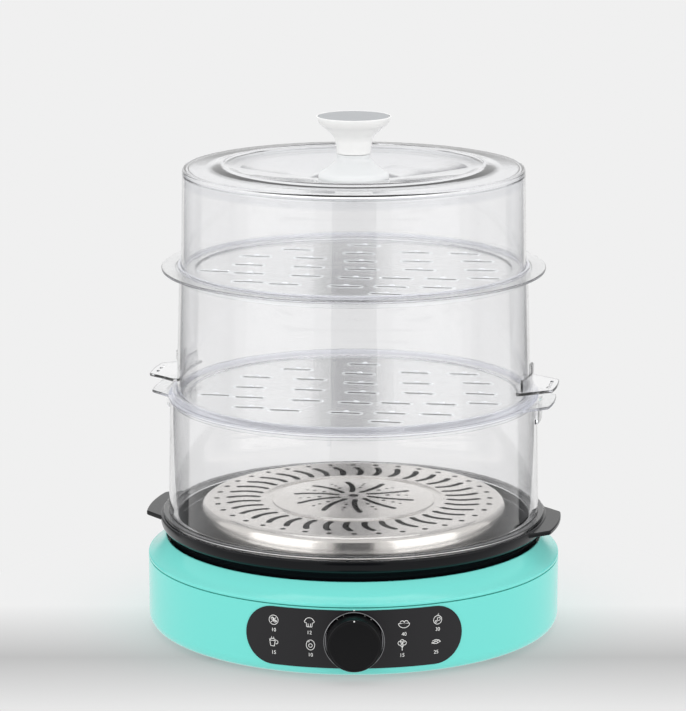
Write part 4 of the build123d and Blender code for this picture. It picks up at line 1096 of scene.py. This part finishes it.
# ---- clear stack ----------------------------------------------------------------------------------
class STEAMER_OT_lower_tier(bpy.types.Operator):
    """Clear wall that stands on the pan"""

    bl_idname = "steamer.lower_tier"
    bl_label = "Lower tier"

    def execute(self, context):
        thick = context.scene.steamer_sizes.wall / MM
        wall = turned("lower_wall", [
            (128, 76, 0.4), (130.2, 76, 0.4), (130.2, 83, 0.3), (139, 83, 0.5), (139, 85.5, 1.0),
            (134.9, 85.5, 0.7),
            (133.2, 169.5, 0.5), (133.2 - thick, 169.5, 0.5), (134.9 - thick, 85.5, 0.6), (128, 84.5, 0.6),
        ], steps=256)
        dress(wall, clear_san(), "lower_tier", "clear_wall", "lower_tier")
        return {"FINISHED"}


def slot_tools(floor_r, z0, z1):
    """Cutters for a tray's straight slots."""
    tools = []
    along = Vector((cos(SLOT_TURN), sin(SLOT_TURN))) * SLOT_LENGTH / 2
    for index, centre in enumerate(SLOT_CENTRES):
        reach = max((Vector(centre) + along).length, (Vector(centre) - along).length)
        if reach < floor_r - 1.5:
            tool = slab(f"slot_tool_{index}", stadium(SLOT_LENGTH, SLOT_WIDTH), z0, z1, 0)
            place = Matrix.Translation((centre[0] * MM, centre[1] * MM, 0))
            tools.append(moved(tool, place @ Matrix.Rotation(SLOT_TURN, 4, "Z")))
    return joined("slot_tools", tools)


def slot_relief(name, floor_r, floor, body):
    """A thin raised rim round each slot and a low bump behind it."""
    across = Vector((-sin(SLOT_TURN), cos(SLOT_TURN)))
    place = Matrix.Rotation(SLOT_TURN, 2)
    deselect()
    bpy.ops.mesh.primitive_uv_sphere_add(segments=16, ring_count=8, radius=1.0 * MM)
    seed = bpy.context.object
    turn = Matrix.Rotation(SLOT_TURN, 4, "Z") @ Matrix.Diagonal((*BUMP_HALVES, 1.0))
    rims, bumps = [], []
    for centre in SLOT_CENTRES:
        if Vector(centre).length > floor_r - 12:
            continue
        outline = [Vector(centre) + place @ Vector(point) for point in stadium(RIM_LENGTH, RIM_WIDTH)]
        rims.append([(x * MM, y * MM, floor * MM) for x, y in outline])
        spot = Vector(centre) + across * BUMP_BACK
        bumps.append(copied(seed, "bump", Matrix.Translation((spot.x * MM, spot.y * MM, floor * MM)) @ turn))
    bpy.data.objects.remove(seed)
    relief = joined(name, [tubes(name, rims, RIM_TUBE_R * MM, 2, True)] + bumps)
    dress(relief, etched_san_painted_glint(), body, "clear_tray", angle=60.0)
    return relief


class STEAMER_OT_middle_tray(bpy.types.Operator):
    """Tray with rim, grips and hanging tabs"""

    bl_idname = "steamer.middle_tray"
    bl_label = "Middle tray"

    def execute(self, context):
        tray = turned("middle_tray_disc", [
            (0, 170.5), (128, 170.5), (128, 166.5, 0.5), (130.3, 166.5, 0.5), (130.3, 169.5),
            (134.5, 169.5, 0.3),
            (134.5, 171.5, 0.6), (131.7, 171.5, 0.3), (131.7, 176, 0.8), (128.7, 176, 0.8), (128.7, 171.5),
            (125, 171.5),
            (124.2, 172.5, 0.2), (123.9, 173.5, 0.5), (119.0, 173.5, 0.5), (118.5, 172.5, 0.3), (0, 172.5),
        ], steps=256)
        cut(tray, slot_tools(118.5, 167, 176))
        parts = [tray]
        outline = grip_outline(134.0, 147.0, 15, 8, 1.6)
        for index in range(2):
            grip = slab("middle_grip", outline, 169.5, 171.5, 0.5)
            tab = slab("middle_tab", sector_outline(137.2, 135.2, -5.5, 5.5), 156.5, 170.5, 0)
            bpy.ops.mesh.primitive_cube_add(size=1.0, location=(0, 0, 0))
            corner = moved(context.object, Matrix.Rotation(radians(5.5), 4, "Z")
                           @ Matrix.Translation((136.2 * MM, 0, 156.5 * MM)) @ Matrix.Rotation(pi / 4, 4, "X")
                           @ Matrix.Diagonal((20 * MM, 6 * MM, 6 * MM, 1)))
            cut(tab, corner)
            turn = Matrix.Rotation(TURN + pi * index, 4, "Z")
            parts += [moved(grip, turn), moved(tab, turn)]
        parts.append(slab("tray_peg", sector_outline(134.4, 133.4, -97.8, -96.9, 2), 163.5, 170.0, 0.2, 2))
        tray = joined("middle_tray_disc", parts)
        dress(tray, clear_san_tray(), "middle_tray", "clear_tray", "middle_tray")
        paint_rim_band(tray, 118.0, 126.5, 134.7, 169.4)
        slot_relief("middle_relief", 118.5, 172.5, "middle_tray")
        return {"FINISHED"}


def sector_outline(outer, inner, start_deg, end_deg, steps=8):
    """Plan of a short stretch of ring between two directions."""
    angles = [radians(start_deg + (end_deg - start_deg) * step / steps) for step in range(steps + 1)]
    points = [(outer * cos(a), outer * sin(a)) for a in angles]
    return points + [(inner * cos(a), inner * sin(a)) for a in reversed(angles)]


class STEAMER_OT_upper_tier(bpy.types.Operator):
    """Clear wall with grips and ribbed tabs"""

    bl_idname = "steamer.upper_tier"
    bl_label = "Upper tier"

    def execute(self, context):
        thick = context.scene.steamer_sizes.wall / MM
        wall = turned("upper_wall", [
            (128.4 - thick, 171.5, 0.4), (128.4, 171.5, 0.5), (125.6, 264, 0.4), (125.6 - thick, 264, 0.4),
        ], steps=256)
        parts = [wall]
        outline = grip_outline(130.8, 149.0, 15, 7, 1.6)
        for index in range(2):
            grip = slab("upper_grip", outline, 181.2, 183.4, 0.5)
            holes = []
            for angle in (-4, 0, 4):
                hole = slab("grip_hole", [(-1.2, -2.5), (1.2, -2.5), (1.2, 2.5), (-1.2, 2.5)], 178, 187, 0)
                spot = Matrix.Rotation(radians(angle), 4, "Z") @ Matrix.Translation((144 * MM, 0, 0))
                holes.append(moved(hole, spot))
            cut(grip, joined("grip_holes", holes))
            turn = Matrix.Rotation(TURN + pi * index, 4, "Z")
            tab = slab("upper_tab", sector_outline(130.9, 129.1, -12.5, 1.5), 182.5, 191.6, 0.4)
            post = slab("upper_post", sector_outline(130.9, 129.1, -2.5, 1.5), 190.6, 198.4, 0.4)
            parts += [moved(grip, turn), moved(tab, turn), moved(post, turn)]
            for rib in range(4):
                z = 198.4 - (rib + 1) * 1.7
                bar = slab("upper_rib", sector_outline(131.6, 129.6, -2.5, 1.5), z, z + 0.8, 0.25, 2)
                parts.append(moved(bar, turn))
        wall = joined("upper_wall", parts)
        dress(wall, clear_san(), "upper_tier", "clear_wall", "upper_tier")
        return {"FINISHED"}


class STEAMER_OT_upper_tray(bpy.types.Operator):
    """Wide-rimmed tray under the hood"""

    bl_idname = "steamer.upper_tray"
    bl_label = "Upper tray"

    def execute(self, context):
        tray = turned("upper_tray_disc", [
            (0, 261.5), (121.9, 261.5, 0.4), (122.4, 262, 0.2), (122.4, 264), (126.3, 264),
            (126.3, 259, 0.4), (128.3, 259, 0.5),
            (128.3, 264, 0.4), (138.5, 264, 0.7), (138.5, 265.9, 0.8), (127, 265.9, 0.3), (126.6, 267.4, 0.6),
            (124.8, 267.4, 0.5), (124.6, 265.9, 0.1), (121.5, 265.9, 0.4), (120.9, 264.9, 0.3),
            (114.1, 264.9, 0.4),
            (113.5, 263.5, 0.3), (0, 263.5),
        ], steps=256)
        cut(tray, slot_tools(113.5, 258, 268))
        dress(tray, clear_san_tray(), "upper_tray", "clear_tray", "upper_tray")
        paint_rim_band(tray, 113.0, 121.0, 129.0, 263.9)
        slot_relief("upper_relief", 113.5, 263.5, "upper_tray")
        return {"FINISHED"}


# ---- lid ------------------------------------------------------------------------------------------
class STEAMER_OT_hood(bpy.types.Operator):
    """Clear hood with its ridge and dished middle"""

    bl_idname = "steamer.hood"
    bl_label = "Hood"

    def execute(self, context):
        thick = context.scene.steamer_sizes.wall / MM
        hood = turned("hood_shell", [
            (124.3 - thick, 265.9, 0.4), (124.3, 265.9, 0.5), (123, 334.8, 2), (122.7, 336.1, 0.8),
            (121.8, 336.9, 0.8), (120, 337.2, 1),
            (104, 337.2, 3), (96, 339.7, 1.5), (94, 340, 1.2), (91.6, 339.5, 1.5),
            (84, 336.5, 3), (60, 332.5, 10), (28, 328.6, 6), (2.3, 328.5), (2.3, 326.1), (28.4, 326.1, 6),
            (60, 330.1, 10),
            (84.5, 334.1, 3), (93.5, 337.1, 2.5), (104, 335.0, 3), (119.1, 334.7, 1.5),
            (123 - thick, 332.4, 1.5),
        ], steps=256)
        cut(hood, slab("vent_tool", sector_outline(106.6, 104.4, 69.5, 80.0), 331, 343, 0))
        dress(hood, clear_san_hood(), "lid", "clear_wall", "lid_hood")
        return {"FINISHED"}


class STEAMER_OT_lid_knob(bpy.types.Operator):
    """Three-part knob of the hood"""

    bl_idname = "steamer.lid_knob"
    bl_label = "Hood knob"

    def execute(self, context):
        foot = turned("knob_foot", [
            (2.2, 328.5), (25, 328.5, 0.5), (25.5, 330.2, 0.8), (24.3, 333.1, 1.5), (20, 335.3, 2.5),
            (16.5, 338.2, 2.5),
            (13.6, 341.1, 2.2), (12.2, 343.8, 1.5), (12.2, 346.7, 0.2), (2.2, 346.8),
        ], steps=96)
        dress(foot, frosted_polypropylene(), "lid", "knob_frosted", "lid_knob_base")
        grip = turned("knob_grip", [
            (0, 347.0), (12.2, 347.0, 0.3), (12.2, 349.1, 1), (12.9, 353.4, 2), (13.6, 357.0, 2),
            (14.8, 359.4, 1.5),
            (17.2, 361.8, 1.8), (20.7, 365.3, 2), (24.3, 367.9, 1.6), (25.9, 370.6, 1.6),
            (26.7, 373.0, 0.8), (26.7, 373.8, 0.4),
            (25.9, 373.8, 0.3), (25.8, 372.2), (0, 372.2),
        ], steps=96)
        dress(grip, white_abs(), "lid", "knob_white", "lid_knob_grip")
        cap = turned("knob_cap", [(0, 372.2), (25.6, 372.2), (25.6, 373.6, 0.3), (0, 373.6)], steps=96)
        dress(cap, grey_cap_abs(), "lid", "cap_grey", "lid_knob_cap")
        return {"FINISHED"}


# ---- panel and registration -----------------------------------------------------------------------
class STEAMER_PT_pieces(bpy.types.Panel):
    """Lists the steamer's pieces, sizes and colours"""

    bl_idname = "STEAMER_PT_pieces"
    bl_label = "Steamer"
    bl_space_type = "VIEW_3D"
    bl_region_type = "UI"
    bl_category = "Steamer"

    def draw(self, context):
        layout = self.layout
        for name in ("shell", "panel", "dial", "pan", "clear", "tray", "ground"):
            layout.prop(context.scene.steamer_colours, name)
        for name in ("wall", "seam", "figure", "stroke"):
            layout.prop(context.scene.steamer_sizes, name)
        for operator in OPERATORS:
            layout.operator(operator.bl_idname)


OPERATORS = (
    STEAMER_OT_stage, STEAMER_OT_shell, STEAMER_OT_panel, STEAMER_OT_dial, STEAMER_OT_insides, STEAMER_OT_pan,
    STEAMER_OT_plate, STEAMER_OT_lower_tier, STEAMER_OT_middle_tray, STEAMER_OT_upper_tier,
    STEAMER_OT_upper_tray,
    STEAMER_OT_hood, STEAMER_OT_lid_knob,
)
CLASSES = (SteamerColours, SteamerSizes) + OPERATORS + (STEAMER_PT_pieces,)


def register():
    for cls in CLASSES:
        bpy.utils.register_class(cls)
    bpy.types.Scene.steamer_colours = bpy.props.PointerProperty(type=SteamerColours)
    bpy.types.Scene.steamer_sizes = bpy.props.PointerProperty(type=SteamerSizes)


def unregister():
    del bpy.types.Scene.steamer_sizes
    del bpy.types.Scene.steamer_colours
    for cls in reversed(CLASSES):
        bpy.utils.unregister_class(cls)


def main():
    register()
    deselect()
    for operator in OPERATORS:
        group, name = operator.bl_idname.split(".")
        getattr(getattr(bpy.ops, group), name)()


if __name__ == "__main__":
    main()
